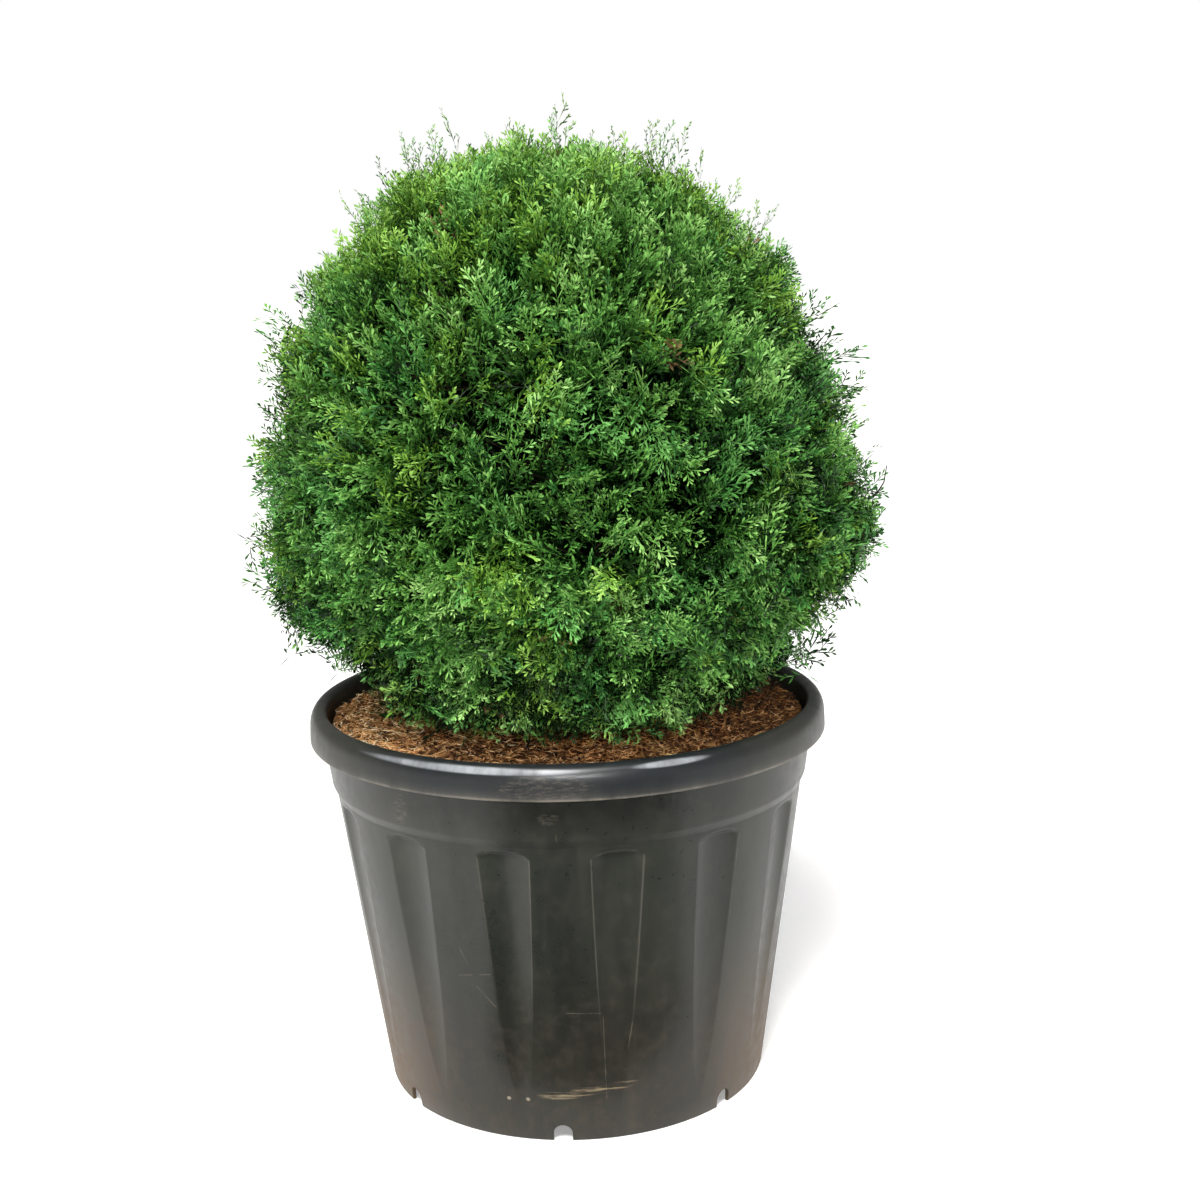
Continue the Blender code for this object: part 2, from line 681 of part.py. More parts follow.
def stem_start(mass):
    """Where a mass's stem begins, a hair's breadth past its bough's tip or the trunk's."""
    if mass.bough is None:
        tip = trunk_place(TRUNK_TIP_Z)
        direction = (tip - trunk_place(TRUNK_TIP_Z - 0.06)).normalized()
        return tip + direction * GAP, direction, TRUNK_TIP_RADIUS
    line = bough_line(*mass.bough)
    direction = (line[-1] - line[-2]).normalized()
    return line[-1] + direction * GAP, direction, BOUGH_TIP_RADIUS


def loose_bodies(bm):
    """The faces in groups joined over edges that two faces share, the largest group last."""
    left = set(bm.faces)
    bodies = []
    while left:
        front = [left.pop()]
        body = list(front)
        while front:
            face = front.pop()
            for edge in face.edges:
                for other in edge.link_faces if len(edge.link_faces) == 2 else ():
                    if other in left:
                        left.remove(other)
                        front.append(other)
                        body.append(other)
        bodies.append(body)
    bodies.sort(key=len)
    return bodies


def keep_largest_body(mesh):
    """Drops scraps and sealed hollows, and says whether what is left is one sound skin."""
    bm = bmesh.new()
    bm.from_mesh(mesh)
    bmesh.ops.remove_doubles(bm, verts=bm.verts, dist=WELD)
    bmesh.ops.triangulate(bm, faces=bm.faces)
    doomed = [face for body in loose_bodies(bm)[:-1] for face in body]
    bmesh.ops.delete(bm, geom=doomed, context="FACES")
    bm.to_mesh(mesh)
    sound = all(edge.is_manifold for edge in bm.edges) and all(vert.is_manifold for vert in bm.verts)
    bmesh.ops.remove_doubles(bm, verts=bm.verts, dist=CLOSE)
    sound = sound and len(loose_bodies(bm)) == 1
    bm.free()
    return sound


def add_pieces(mass, places, draw, pieces):
    """The stem, its twigs, the sprays and the shoots of a mass, each a closed solid."""
    start, direction, radius = stem_start(mass)
    hub = start + direction * (TOP_STEM if mass.bough is None else STEM)
    add_object("stem", twig_mesh(start, hub, radius, radius * 0.7), pieces)
    for i in range(TWIGS_PER_MASS):
        place = places[(i * len(places)) // TWIGS_PER_MASS]
        end = start.lerp(crown_point(*place), 0.85)
        root = start.lerp(hub, draw.uniform(0.35, 0.9))
        add_object("twig", twig_mesh(root, end, TWIG_RADIUS, TWIG_RADIUS * 0.6), pieces)
    for azimuth, z in places:
        length = SPRAY_LENGTH * draw.uniform(0.86, 1.08)
        points = fitting_spray(mass, azimuth, z, draw, length, SPRAY_WIDTH * draw.uniform(0.85, 1.1))
        if points:
            add_object("spray", spray_mesh(points), pieces)
    for shoot in SHOOTS:
        tip = azimuth_vector(shoot[0]) * shoot[2] + Vector((0, 0, shoot[1]))
        points = shoot_points(mass, *shoot) if mass.holds(tip, CELL_MARGIN) else None
        if points:
            add_object("shoot", spray_mesh(points), pieces)


def build_mass(mass, places, parts, foliage):
    """Core, stem, twigs and sprays joined by one union, drawn again until the skin is sound."""
    mine = [place for place in places if mass.holds(crown_point(*place), 0.012)]
    first = DRAWS_PASSED.get(mass.name, 0)
    for attempt in range(first, first + MASS_ATTEMPTS):
        draw = random.Random(f"{SEED} {mass.name} {attempt}")
        pieces = new_collection(f"pieces_of_{mass.name}")
        add_pieces(mass, mine, draw, pieces)
        whole = add_object(mass.name, core_mesh(mass), parts)
        add_boolean(whole, "UNION", solver="MANIFOLD", collection=pieces)
        whole = replace_by_mesh(whole, parts, foliage, weld=False)
        for piece in list(pieces.objects):
            bpy.data.objects.remove(piece, do_unlink=True)
        bpy.data.collections.remove(pieces)
        if keep_largest_body(whole.data):
            print(f"{mass.name}: draw {attempt}")
            return whole
        bpy.data.objects.remove(whole, do_unlink=True)
    raise ValueError(f"{mass.name} has no sound skin")


def build_trunk(parts, bark):
    trunk = trunk_limb("trunk", 0.0, parts)
    trunk.data.materials.append(bark)
    trunk.data.shade_smooth()
    return trunk


def build_boughs(masses, parts, cutters, bark):
    """One bough to each mass, cut back from the trunk by the gap."""
    swollen = trunk_limb("swollen_trunk", GAP, cutters)
    as_cutter(swollen)
    for mass in masses:
        if mass.bough is None:
            continue
        line = bough_line(*mass.bough)
        taper = (BOUGH_TIP_RADIUS - BOUGH_ROOT_RADIUS) / (len(line) - 1)
        radii = [BOUGH_ROOT_RADIUS + taper * i for i in range(len(line))]
        bough = limb(mass.name.replace("foliage", "bough"), line, radii, 6, parts)
        bough.data.materials.append(bark)
        bough.data.shade_smooth()
        add_boolean(bough, "DIFFERENCE", other=swollen)


def build():
    clear_scene()
    parts = new_collection("potted_eastern_arborvitae")
    cutters = new_collection("cutters")
    build_pot(parts, cutters)
    build_soil(parts)
    build_mulch(parts, trunk_radius(SOIL_TOP) + 0.001)
    bark = principled("bark", BARK_BROWN, 0.85)
    foliage = principled("foliage", LEAF_GREEN, 0.6)
    build_trunk(parts, bark)
    masses = make_masses()
    build_boughs(masses, parts, cutters, bark)
    places = lattice(SPRAYS)
    for mass in masses:
        build_mass(mass, places, parts, foliage)


build()
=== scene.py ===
"""Looks of the potted eastern arborvitae: pot, mulch, bark and clipped foliage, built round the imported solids.

Metres, +Z up. The origin is the middle of the pot's flat underside, and -Y is the front.
"""

import math
import random

import bmesh
import bpy
import numpy as np
from mathutils import Matrix, Vector


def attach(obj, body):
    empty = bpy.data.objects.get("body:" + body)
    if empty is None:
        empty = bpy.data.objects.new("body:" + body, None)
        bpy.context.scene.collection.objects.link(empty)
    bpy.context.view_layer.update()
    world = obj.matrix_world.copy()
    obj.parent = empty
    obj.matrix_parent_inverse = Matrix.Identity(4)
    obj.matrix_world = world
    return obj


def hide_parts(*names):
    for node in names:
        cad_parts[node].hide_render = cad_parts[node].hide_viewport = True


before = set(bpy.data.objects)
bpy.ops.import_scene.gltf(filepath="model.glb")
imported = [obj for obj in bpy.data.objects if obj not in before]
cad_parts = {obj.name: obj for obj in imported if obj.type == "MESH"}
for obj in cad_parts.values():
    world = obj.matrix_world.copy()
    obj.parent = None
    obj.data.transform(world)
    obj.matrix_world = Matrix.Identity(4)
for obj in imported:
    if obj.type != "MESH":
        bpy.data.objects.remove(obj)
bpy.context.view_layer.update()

# Pot, as in the solids
POT_HEIGHT = 0.450
RIM_RADIUS = 0.300
RIM_LIP_Z = 0.4135
RIM_INNER_RADIUS = 0.279
BASE_RADIUS = 0.224
WALL_SLOPE = 0.1370
WALL_THICKNESS = 0.004
BAND_Z = 0.364
BAND_STEP = 0.0095
BAND_PROUD = 0.0035
CHANNEL_HEIGHT = 0.022
FOOT_RADIUS = 0.130
FOOT_FLARE = 0.014
FLUTES = 14
FLUTE_PHASE = -15.6
FLUTE_TOP_Z = 0.345
FLUTE_FOOT_Z = 0.040
FLUTE_TOP_WIDTH = 0.058
FLUTE_TAPER = 0.45
FLUTE_DEPTH = 0.007
FLUTE_CORNER = 0.009
FLUTE_FALL = 0.005
LAND_COLUMNS = 8
LAND_EDGE = 0.0015
SCOOP_COLUMNS = 16
NOTCHES = 7
NOTCH_PHASE = -4.8
NOTCH_WIDTH = 0.021
NOTCH_HEIGHT = 0.0195

# Growing medium and its mulch
GAP = 0.0003
SOIL_TOP = 0.404
MULCH_EDGE_Z = 0.419
MULCH_CROWN_Z = 0.426
MULCH_EDGE_RADIUS = 0.2745
STRANDS = 9900

# Trunk and boughs
TRUNK_RADIUS = 0.022
TRUNK_TIP_RADIUS = 0.009
TRUNK_TIP_Z = 0.926
TRUNK_SWAY = 0.006
FLARE = 0.6
FLARE_HEIGHT = 0.05
BOUGH_ROOT_RADIUS = 0.011
BOUGH_TIP_RADIUS = 0.006
LOWER_AZIMUTH = 8
LOWER_BOUGH_Z = 0.464
LOWER_BOUGH_STEP = 0.011
LOWER_BOUGH_REACH = 0.128
LOWER_TIP_Z = 0.560
LOWER_TIP_STEP = 0.014
UPPER_AZIMUTH = -22
UPPER_BOUGH_Z = 0.640
UPPER_BOUGH_STEP = 0.021
UPPER_BOUGH_REACH = 0.098
UPPER_TIP_Z = 0.775
UPPER_TIP_STEP = 0.012
BOUGH_KNEE = 0.55
BOUGH_SAG = 0.10
BOUGH_DROP = 0.006

# Crown
CROWN_RADIUS = 0.342
CROWN_WIDEST_Z = 0.655
CROWN_TOP_Z = 1.078
CROWN_BOTTOM_Z = 0.442
UPPER_POWER = 2.25
LOWER_POWER = 1.5
LOWER_REACH = 0.407
HEM_Z = 0.478
LEAN = -0.04
LEAN_FROM_Z = 0.74
LOWER_MASSES = 7
UPPER_MASSES = 5
TIER_Z = 0.700
TOP_RING_RADIUS = 0.238
TOP_RING_Z = 0.950
TOP_RING_SLOPE = 50.0
CAP_RADIUS = 0.066
CAP_SHARE = 0.012
SEED = 11

# Broad, low swellings and hollows of the clipped face: azimuth, height, how far out, reach in height
BULGE_WIDTH = 40.0
BULGES = (
    (-90, 0.990, -0.036, 0.045), (-90, 0.905, -0.030, 0.032), (-90, 0.790, -0.016, 0.045),
    (-90, 0.575, 0.014, 0.026), (-90, 0.492, -0.056, 0.028), (90, 1.005, -0.014, 0.032),
    (90, 0.885, -0.026, 0.040), (90, 0.680, 0.014, 0.055), (88, 0.532, -0.048, 0.045),
    (60, 0.475, -0.046, 0.032), (180, 0.930, -0.014, 0.050), (170, 0.620, 0.014, 0.060),
    (135, 0.800, 0.012, 0.050), (-140, 0.700, -0.012, 0.050),
)

# Leaf sprays
TEMPLATES = 14
CLUSTERS = 1520
SPRAYS_PER_CLUSTER = 5
CLUSTER_SPREAD = 0.011
HOLLOW_DEPTH = 0.022
# Steps of painted shade on sprays to the right, low down and in the gaps
SHADED_DARKER = 3.6
SPRAY_LENGTH = 0.064
BRANCHES = 7
TWIGLETS = 3
TWIGLET_LENGTHS = (0.105, 0.185)
BLADE_WIDTH = 0.031
LEAF_WIDEST = 0.68
SHOOT_SPREAD = 0.60
SHOOT_BLADE_WIDTH = 0.021
SHOOT_LEAF_SHARE = 0.6
SHOOT_LENGTH = 0.080
SMALL_SHOOTS = 320
SHOOT_LEAST_Z = 0.560

# Sprays painted dark as shade under the bright ones, and broad near-black fans as painted shade under those: how many,
# least and most depth of their tips
INNER_SPRAYS = (2300, 0.024, 0.050)
FANS = ((1900, 0.052, 0.072), (1200, 0.072, 0.098))
FAN_LENGTH = 0.080
INNER_LEAST_Z = 0.580
FAN_LEAST_Z = 0.480

# Places where foliage has turned brown: azimuth and height
BROWN_PLACES = ((-65, 1.045), (19, 0.504), (46, 0.720), (-56, 0.584), (-39, 0.515), (150, 0.760), (-130, 0.930))
BROWN_REACH = 0.013

# Shoots that stand out of the clipped face: azimuth, height of the tip, distance of the tip from the axis
SHOOTS = (
    (-90, 1.118, 0.114), (-84, 1.093, 0.161), (-97, 1.067, 0.194), (60, 1.122, 0.030),
    (88, 1.100, 0.127), (97, 1.098, 0.150), (92, 1.003, 0.242), (90, 0.885, 0.306),
    (86, 0.845, 0.334), (95, 0.673, 0.373), (84, 0.636, 0.364), (90, 0.504, 0.304),
    (-90, 0.902, 0.316), (-92, 0.751, 0.344), (-88, 0.607, 0.350), (-160, 1.098, 0.110),
    (165, 1.090, 0.150), (150, 0.900, 0.318), (-140, 0.860, 0.328), (180, 0.720, 0.366),
    (-150, 0.620, 0.356), (130, 0.590, 0.356), (0, 1.090, 0.120), (-30, 0.820, 0.332),
)

# A bare twig that curls up out of the crown at its right side
DEAD_TWIG = (
    (0.270, -0.030, 0.640), (0.334, -0.030, 0.666), (0.349, -0.030, 0.673), (0.359, -0.030, 0.681),
    (0.366, -0.030, 0.692), (0.369, -0.030, 0.711),
)

# Leaf colours, dark to light, each family one leaf colour from painted shade to painted light: near-black painted
# shade, plain greens, yellow greens, cooler greens, then dead brown ones
SHADES = ((0.0032, 0.0075, 0.0024), (0.0045, 0.0145, 0.0030))
GREENS = (
    (0.0035, 0.0160, 0.0026), (0.0090, 0.0400, 0.0056), (0.0230, 0.0870, 0.0120), (0.0470, 0.1540, 0.0225),
    (0.0860, 0.2450, 0.0385), (0.1450, 0.3480, 0.0670), (0.2150, 0.4500, 0.1050), (0.2900, 0.5200, 0.1500),
)
YELLOW_GREENS = (
    (0.0100, 0.0360, 0.0032), (0.0290, 0.0850, 0.0070), (0.0680, 0.1700, 0.0145), (0.1220, 0.2680, 0.0270),
    (0.1930, 0.3900, 0.0480), (0.2750, 0.5000, 0.0950),
)
COOL_GREENS = ((0.0130, 0.0680, 0.0120), (0.0300, 0.1330, 0.0240), (0.0650, 0.2300, 0.0420), (0.1300, 0.3500, 0.0800))
DEAD = ((0.070, 0.035, 0.014), (0.210, 0.130, 0.060))
FAMILIES = (("plain", GREENS), ("yellow", YELLOW_GREENS), ("cool", COOL_GREENS), ("dead", DEAD))
PLAIN, YELLOW, COOL, BROWN = range(4)
FIRSTS = tuple(len(SHADES) + sum(len(colours) for _, colours in FAMILIES[:k]) for k in range(4))


def principled(name, color=(0.5, 0.5, 0.5), roughness=0.5, specular=0.5):
    material = bpy.data.materials.new(name)
    material.use_nodes = True
    shader = material.node_tree.nodes["Principled BSDF"]
    shader.inputs["Base Color"].default_value = (*color, 1.0)
    shader.inputs["Roughness"].default_value = roughness
    shader.inputs["Specular IOR Level"].default_value = specular
    return material


def mesh_of(name, points, triangles, slots=None, materials=(), smooth=True):
    """An object from arrays of points and triangles, with a material slot for each triangle."""
    mesh = bpy.data.meshes.new(name)
    count = len(triangles)
    mesh.vertices.add(len(points))
    mesh.vertices.foreach_set("co", np.ascontiguousarray(points, np.float32).ravel())
    mesh.loops.add(3 * count)
    mesh.loops.foreach_set("vertex_index", np.ascontiguousarray(triangles, np.int32).ravel())
    mesh.polygons.add(count)
    mesh.polygons.foreach_set("loop_start", np.arange(0, 3 * count, 3, dtype=np.int32))
    for material in materials:
        mesh.materials.append(material)
    if slots is not None:
        mesh.polygons.foreach_set("material_index", np.ascontiguousarray(slots, np.int32))
    mesh.polygons.foreach_set("use_smooth", np.full(count, smooth))
    mesh.update(calc_edges=True)
    obj = bpy.data.objects.new(name, mesh)
    bpy.context.scene.collection.objects.link(obj)
    return obj


def place(obj, slot, *nodes):
    """Rides on the body and stands for the nodes."""
    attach(obj, "root")
    if nodes:
        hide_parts(*nodes)
    return obj


def azimuth_vectors(degrees):
    """Level unit vectors for azimuths counted from the front towards +X."""
    angle = np.radians(np.asarray(degrees, float) - 90)
    return np.stack([np.cos(angle), np.sin(angle), np.zeros_like(angle)], -1)


def azimuth_vector(degrees):
    return Vector(azimuth_vectors(degrees).tolist())


# Shapes of the pot

def wall_radius(z):
    return BASE_RADIUS + WALL_SLOPE * z


def pot_columns(radius, z):
    """Angles of the pot's columns at a height, where each lies across its flute from -1 to 1, and the flute's share."""
    share = min(1.0, max(0.0, (z - FLUTE_FOOT_Z) / (FLUTE_TOP_Z - FLUTE_FOOT_Z)))
    half = max(FLUTE_TOP_WIDTH * share**FLUTE_TAPER / 2, 0.004) / radius
    pitch = 2 * math.pi / FLUTES
    across = np.linspace(-1, 1, SCOOP_COLUMNS + 1)
    near = LAND_EDGE / radius
    land = np.linspace(half + near, pitch - half - near, LAND_COLUMNS)
    angle = np.concatenate([across * half, land])
    across = np.concatenate([across, np.full(LAND_COLUMNS, 2.0)])
    first = math.radians(FLUTE_PHASE - 90) + pitch * np.arange(FLUTES)
    return (first[:, None] + angle).ravel(), np.tile(across, FLUTES), share


def pot_ring(radius, z, fluted, wear):
    """Points of one turn of the pot, pressed in where the flutes are, and how worn each is."""
    angle, across, share = pot_columns(radius, z)
    scoop = np.clip(1 - across**2, 0, 1)
    top = FLUTE_TOP_Z + FLUTE_FALL - FLUTE_CORNER * np.clip(np.abs(across), 0, 1) ** 4
    fall = np.clip((top - z) / FLUTE_FALL, 0, 1)
    reach = radius - fluted * FLUTE_DEPTH * share * scoop * fall * fall * (3 - 2 * fall)
    worn = np.maximum(wear, fluted * (np.abs(np.abs(across) - 1) < 0.01) * (fall > 0) * min(1.0, 2 * share))
    return np.stack([reach * np.cos(angle), reach * np.sin(angle), np.full(len(angle), z)], -1), worn


def rounded(corner, before, after, radius, steps=4):
    """Points of a rounded corner of a section."""
    corner, before, after = (np.array(p, float) for p in (corner, before, after))
    first = corner + (before - corner) / np.linalg.norm(before - corner) * radius
    last = corner + (after - corner) / np.linalg.norm(after - corner) * radius
    made = []
    for i in range(steps + 1):
        t = i / steps
        made.append(tuple((1 - t) ** 2 * first + 2 * t * (1 - t) * corner + t * t * last))
    return made


def pot_section():
    """(radius, height, fluted, worn) from the inside of the floor over the rim to the underside."""
    inner = WALL_THICKNESS
    floor_top = CHANNEL_HEIGHT + inner
    band_top = wall_radius(RIM_LIP_Z) + BAND_PROUD
    band_low = wall_radius(BAND_Z) + BAND_PROUD
    step_low = wall_radius(BAND_Z - BAND_STEP)
    heights = np.concatenate([np.linspace(FLUTE_FOOT_Z, 0.328, 24), np.linspace(0.3305, 0.3525, 12)])
    inside = [(0.0005, inner), (FOOT_RADIUS - 0.003, inner), (FOOT_RADIUS + FOOT_FLARE - 0.003, floor_top)]
    inside.append((wall_radius(floor_top) - inner, floor_top))
    section = [(r, z, 0, 0) for r, z in inside]
    section += [(wall_radius(z) - inner, z, 1, 0) for z in heights]
    section += [(step_low - inner, BAND_Z - BAND_STEP, 0, 0), (band_low - inner, BAND_Z, 0, 0)]
    section.append((RIM_INNER_RADIUS - 0.0005, RIM_LIP_Z, 0, 0))
    crest = [(0, 0.010, 0), (0.0010, 0.0045, 0), (0.0036, 0.0012, 0), (0.0072, 0.0001, 0), (0.0106, 0.0006, 0.2),
             (0.0137, 0.0023, 0.3), (0.0163, 0.0050, 0.2), (0.0183, 0.0087, 0), (0.0196, 0.0128, 0), (0.0202, 0.0172, 0)]
    section += [(RIM_INNER_RADIUS + out, POT_HEIGHT - down, 0, wear) for out, down, wear in crest]
    lip = (RIM_RADIUS, RIM_LIP_Z)
    under = (band_top, RIM_LIP_Z + 0.0005)
    shoulder, foot = (band_low, BAND_Z), (step_low, BAND_Z - BAND_STEP)
    corners = ((lip, section[-1][:2], under, 0.0016, 1.0), (under, lip, shoulder, 0.0022, 0.0),
               (shoulder, under, foot, 0.0022, 0.5), (foot, shoulder, (step_low, FLUTE_TOP_Z), 0.0022, 0.2))
    for corner, before, after, radius, wear in corners:
        section += [(r, z, 0, wear) for r, z in rounded(corner, before, after, radius)]
    section += [(wall_radius(z), z, 1, 0) for z in heights[::-1]]
    heel = (BASE_RADIUS, 0.0)
    below = [(wall_radius(0.030), 0.030), (wall_radius(0.024), 0.024)]
    below += rounded(heel, (wall_radius(0.012), 0.012), (BASE_RADIUS - inner, 0), 0.0012, 2)
    below += [(BASE_RADIUS - inner, 0), (wall_radius(CHANNEL_HEIGHT) - inner - 0.002, CHANNEL_HEIGHT)]
    below += [(FOOT_RADIUS + FOOT_FLARE, CHANNEL_HEIGHT), (FOOT_RADIUS, 0), (0.0005, 0)]
    return section + [(r, z, 0, 0) for r, z in below]


def even_ring(radius, z, columns):
    angle = np.arange(columns) * 2 * math.pi / columns
    return np.stack([radius * np.cos(angle), radius * np.sin(angle), np.full(columns, z)], -1)


def turned_mesh(name, rings):
    """A closed skin over rings of points about Z, with a fan at each end."""
    columns = len(rings[0])
    points = np.concatenate(rings)
    here = np.arange(columns)
    following = (here + 1) % columns
    faces = []
    for row in range(len(rings) - 1):
        a, b = row * columns + here, row * columns + following
        c, d = a + columns, b + columns
        faces += [np.stack([a, c, d], -1), np.stack([a, d, b], -1)]
    first, last = len(points), len(points) + 1
    points = np.concatenate([points, [[0, 0, rings[0][0, 2]], [0, 0, rings[-1][0, 2]]]])
    faces.append(np.stack([here, following, np.full(columns, first)], -1))
    end = (len(rings) - 1) * columns
    faces.append(np.stack([end + following, end + here, np.full(columns, last)], -1))
    return mesh_of(name, points, np.concatenate(faces))


def notch_cutter(azimuth):
    """An arch-topped slot that passes through the pot's wall above its foot."""
    bm = bmesh.new()
    arc_radius = NOTCH_WIDTH / 2
    spring = NOTCH_HEIGHT - arc_radius
    outline = [(-arc_radius, -0.01), (arc_radius, -0.01)]
    for step in range(13):
        turn = math.pi * step / 12
        outline.append((arc_radius * math.cos(turn), spring + arc_radius * math.sin(turn)))
    face = bm.faces.new([bm.verts.new((0.200, y, z)) for y, z in outline])
    extruded = bmesh.ops.extrude_face_region(bm, geom=[face])
    moved = [v for v in extruded["geom"] if isinstance(v, bmesh.types.BMVert)]
    bmesh.ops.translate(bm, verts=moved, vec=(0.045, 0, 0))
    bmesh.ops.recalc_face_normals(bm, faces=bm.faces)
    bm.transform(Matrix.Rotation(math.radians(azimuth - 90), 4, "Z"))
    mesh = bpy.data.meshes.new("notch")
    bm.to_mesh(mesh)
    bm.free()
    cutter = bpy.data.objects.new("notch", mesh)
    bpy.context.scene.collection.objects.link(cutter)
    return cutter


def applied(obj):
    """The object with its modifiers made part of its mesh."""
    graph = bpy.context.evaluated_depsgraph_get()
    mesh = bpy.data.meshes.new_from_object(obj.evaluated_get(graph))
    obj.modifiers.clear()
    obj.data = mesh
    return obj


def build_pot():
    rings, wear = zip(*(pot_ring(*point) for point in pot_section()))
    pot = turned_mesh("pot_shell", rings)
    worn = pot.data.attributes.new("wear", "FLOAT", "POINT")
    worn.data.foreach_set("value", np.concatenate([*wear, [0, 0]]).astype(np.float32))
    cutters = [notch_cutter(NOTCH_PHASE + i * 360 / NOTCHES) for i in range(NOTCHES)]
    for cutter in cutters:
        modifier = pot.modifiers.new("notch", "BOOLEAN")
        modifier.operation = "DIFFERENCE"
        modifier.solver = "EXACT"
        modifier.object = cutter
    applied(pot)
    for cutter in cutters:
        bpy.data.objects.remove(cutter, do_unlink=True)
    pot.data.shade_smooth()
    pot.data.set_sharp_from_angle(angle=math.radians(38))
    pot.data.materials.clear()
    pot.data.materials.append(pot_material())
    return place(pot, "pot_plastic", "pot")


# Nodes

class Graph:
    """A short way to add nodes to a material."""

    def __init__(self, material):
        self.tree = material.node_tree
        self.shader = self.tree.nodes["Principled BSDF"]

    def add(self, kind, **settings):
        node = self.tree.nodes.new(kind)
        for name, value in settings.items():
            setattr(node, name, value)
        return node

    def link(self, source, socket):
        self.tree.links.new(source, socket)

    def feed(self, value, socket):
        if isinstance(value, (int, float)):
            socket.default_value = value
        else:
            self.link(value, socket)

    def math(self, operation, a, b=0.0, c=0.0, clamp=False):
        node = self.add("ShaderNodeMath", operation=operation, use_clamp=clamp)
        for value, socket in zip((a, b, c), node.inputs):
            self.feed(value, socket)
        return node.outputs[0]

    def ramp(self, value, low, high, out_low=0.0, out_high=1.0):
        node = self.add("ShaderNodeMapRange", clamp=True)
        node.interpolation_type = "SMOOTHSTEP"
        self.feed(value, node.inputs["Value"])
        for name, number in zip(("From Min", "From Max", "To Min", "To Max"), (low, high, out_low, out_high)):
            node.inputs[name].default_value = number
        return node.outputs["Result"]

    def mix(self, share, a, b):
        node = self.add("ShaderNodeMix", data_type="RGBA")
        self.feed(share, node.inputs[0])
        for value, socket in zip((a, b), (node.inputs[6], node.inputs[7])):
            if isinstance(value, tuple):
                socket.default_value = (*value, 1.0)
            else:
                self.link(value, socket)
        return node.outputs[2]

    def coordinates(self, scale=(1, 1, 1)):
        source = self.add("ShaderNodeTexCoord")
        mapping = self.add("ShaderNodeMapping")
        mapping.inputs["Scale"].default_value = scale
        self.link(source.outputs["Object"], mapping.inputs["Vector"])
        return mapping.outputs["Vector"]

    def noise(self, vector, scale, detail=4.0, roughness=0.55, distortion=0.0):
        node = self.add("ShaderNodeTexNoise")
        self.link(vector, node.inputs["Vector"])
        node.inputs["Scale"].default_value = scale
        node.inputs["Detail"].default_value = detail
        node.inputs["Roughness"].default_value = roughness
        node.inputs["Distortion"].default_value = distortion
        return node.outputs["Fac"]

    def bump(self, height, strength, distance):
        node = self.add("ShaderNodeBump")
        node.inputs["Strength"].default_value = strength
        node.inputs["Distance"].default_value = distance
        self.link(height, node.inputs["Height"])
        self.link(node.outputs["Normal"], self.shader.inputs["Normal"])


# Scratches on the pot's front, each from (x, z) to (x, z) with its half width
SCRATCHES = (
    ((-0.125, 0.232), (-0.115, 0.210), 0.0005), ((-0.128, 0.195), (-0.110, 0.199), 0.0005),
    ((-0.104, 0.200), (-0.090, 0.203), 0.0007), ((-0.108, 0.187), (-0.086, 0.162), 0.0006),
    ((-0.013, 0.160), (0.028, 0.158), 0.0005), ((0.028, 0.158), (0.030, 0.049), 0.0005),
    ((0.060, 0.145), (0.054, 0.109), 0.0006), ((-0.016, 0.374), (-0.016, 0.362), 0.0007),
)

# Scuffed patches, small dots and a smear of dirt on the front: middle (x, z) and reach (x, z)
SCUFFS = ((-0.026, 0.427, 0.062, 0.017), (-0.0236, 0.389, 0.014, 0.008), (-0.181, 0.384, 0.010, 0.022))
DOTS = ((-0.077, 0.050, 0.0028, 0.0028), (-0.056, 0.051, 0.0028, 0.0028))
SMEARS = ((0.036, 0.0610, 0.034, 0.0060), (-0.010, 0.0605, 0.040, 0.0075))
SMEAR_SLOPE = 0.10

# Painted highlight: pale streaks along the rim's shoulder in front, where the lights glint
RIM_HIGHLIGHT_STREAKS = ((-0.100, 0.4440, 0.130, 0.0042), (0.104, 0.4445, 0.046, 0.0036))


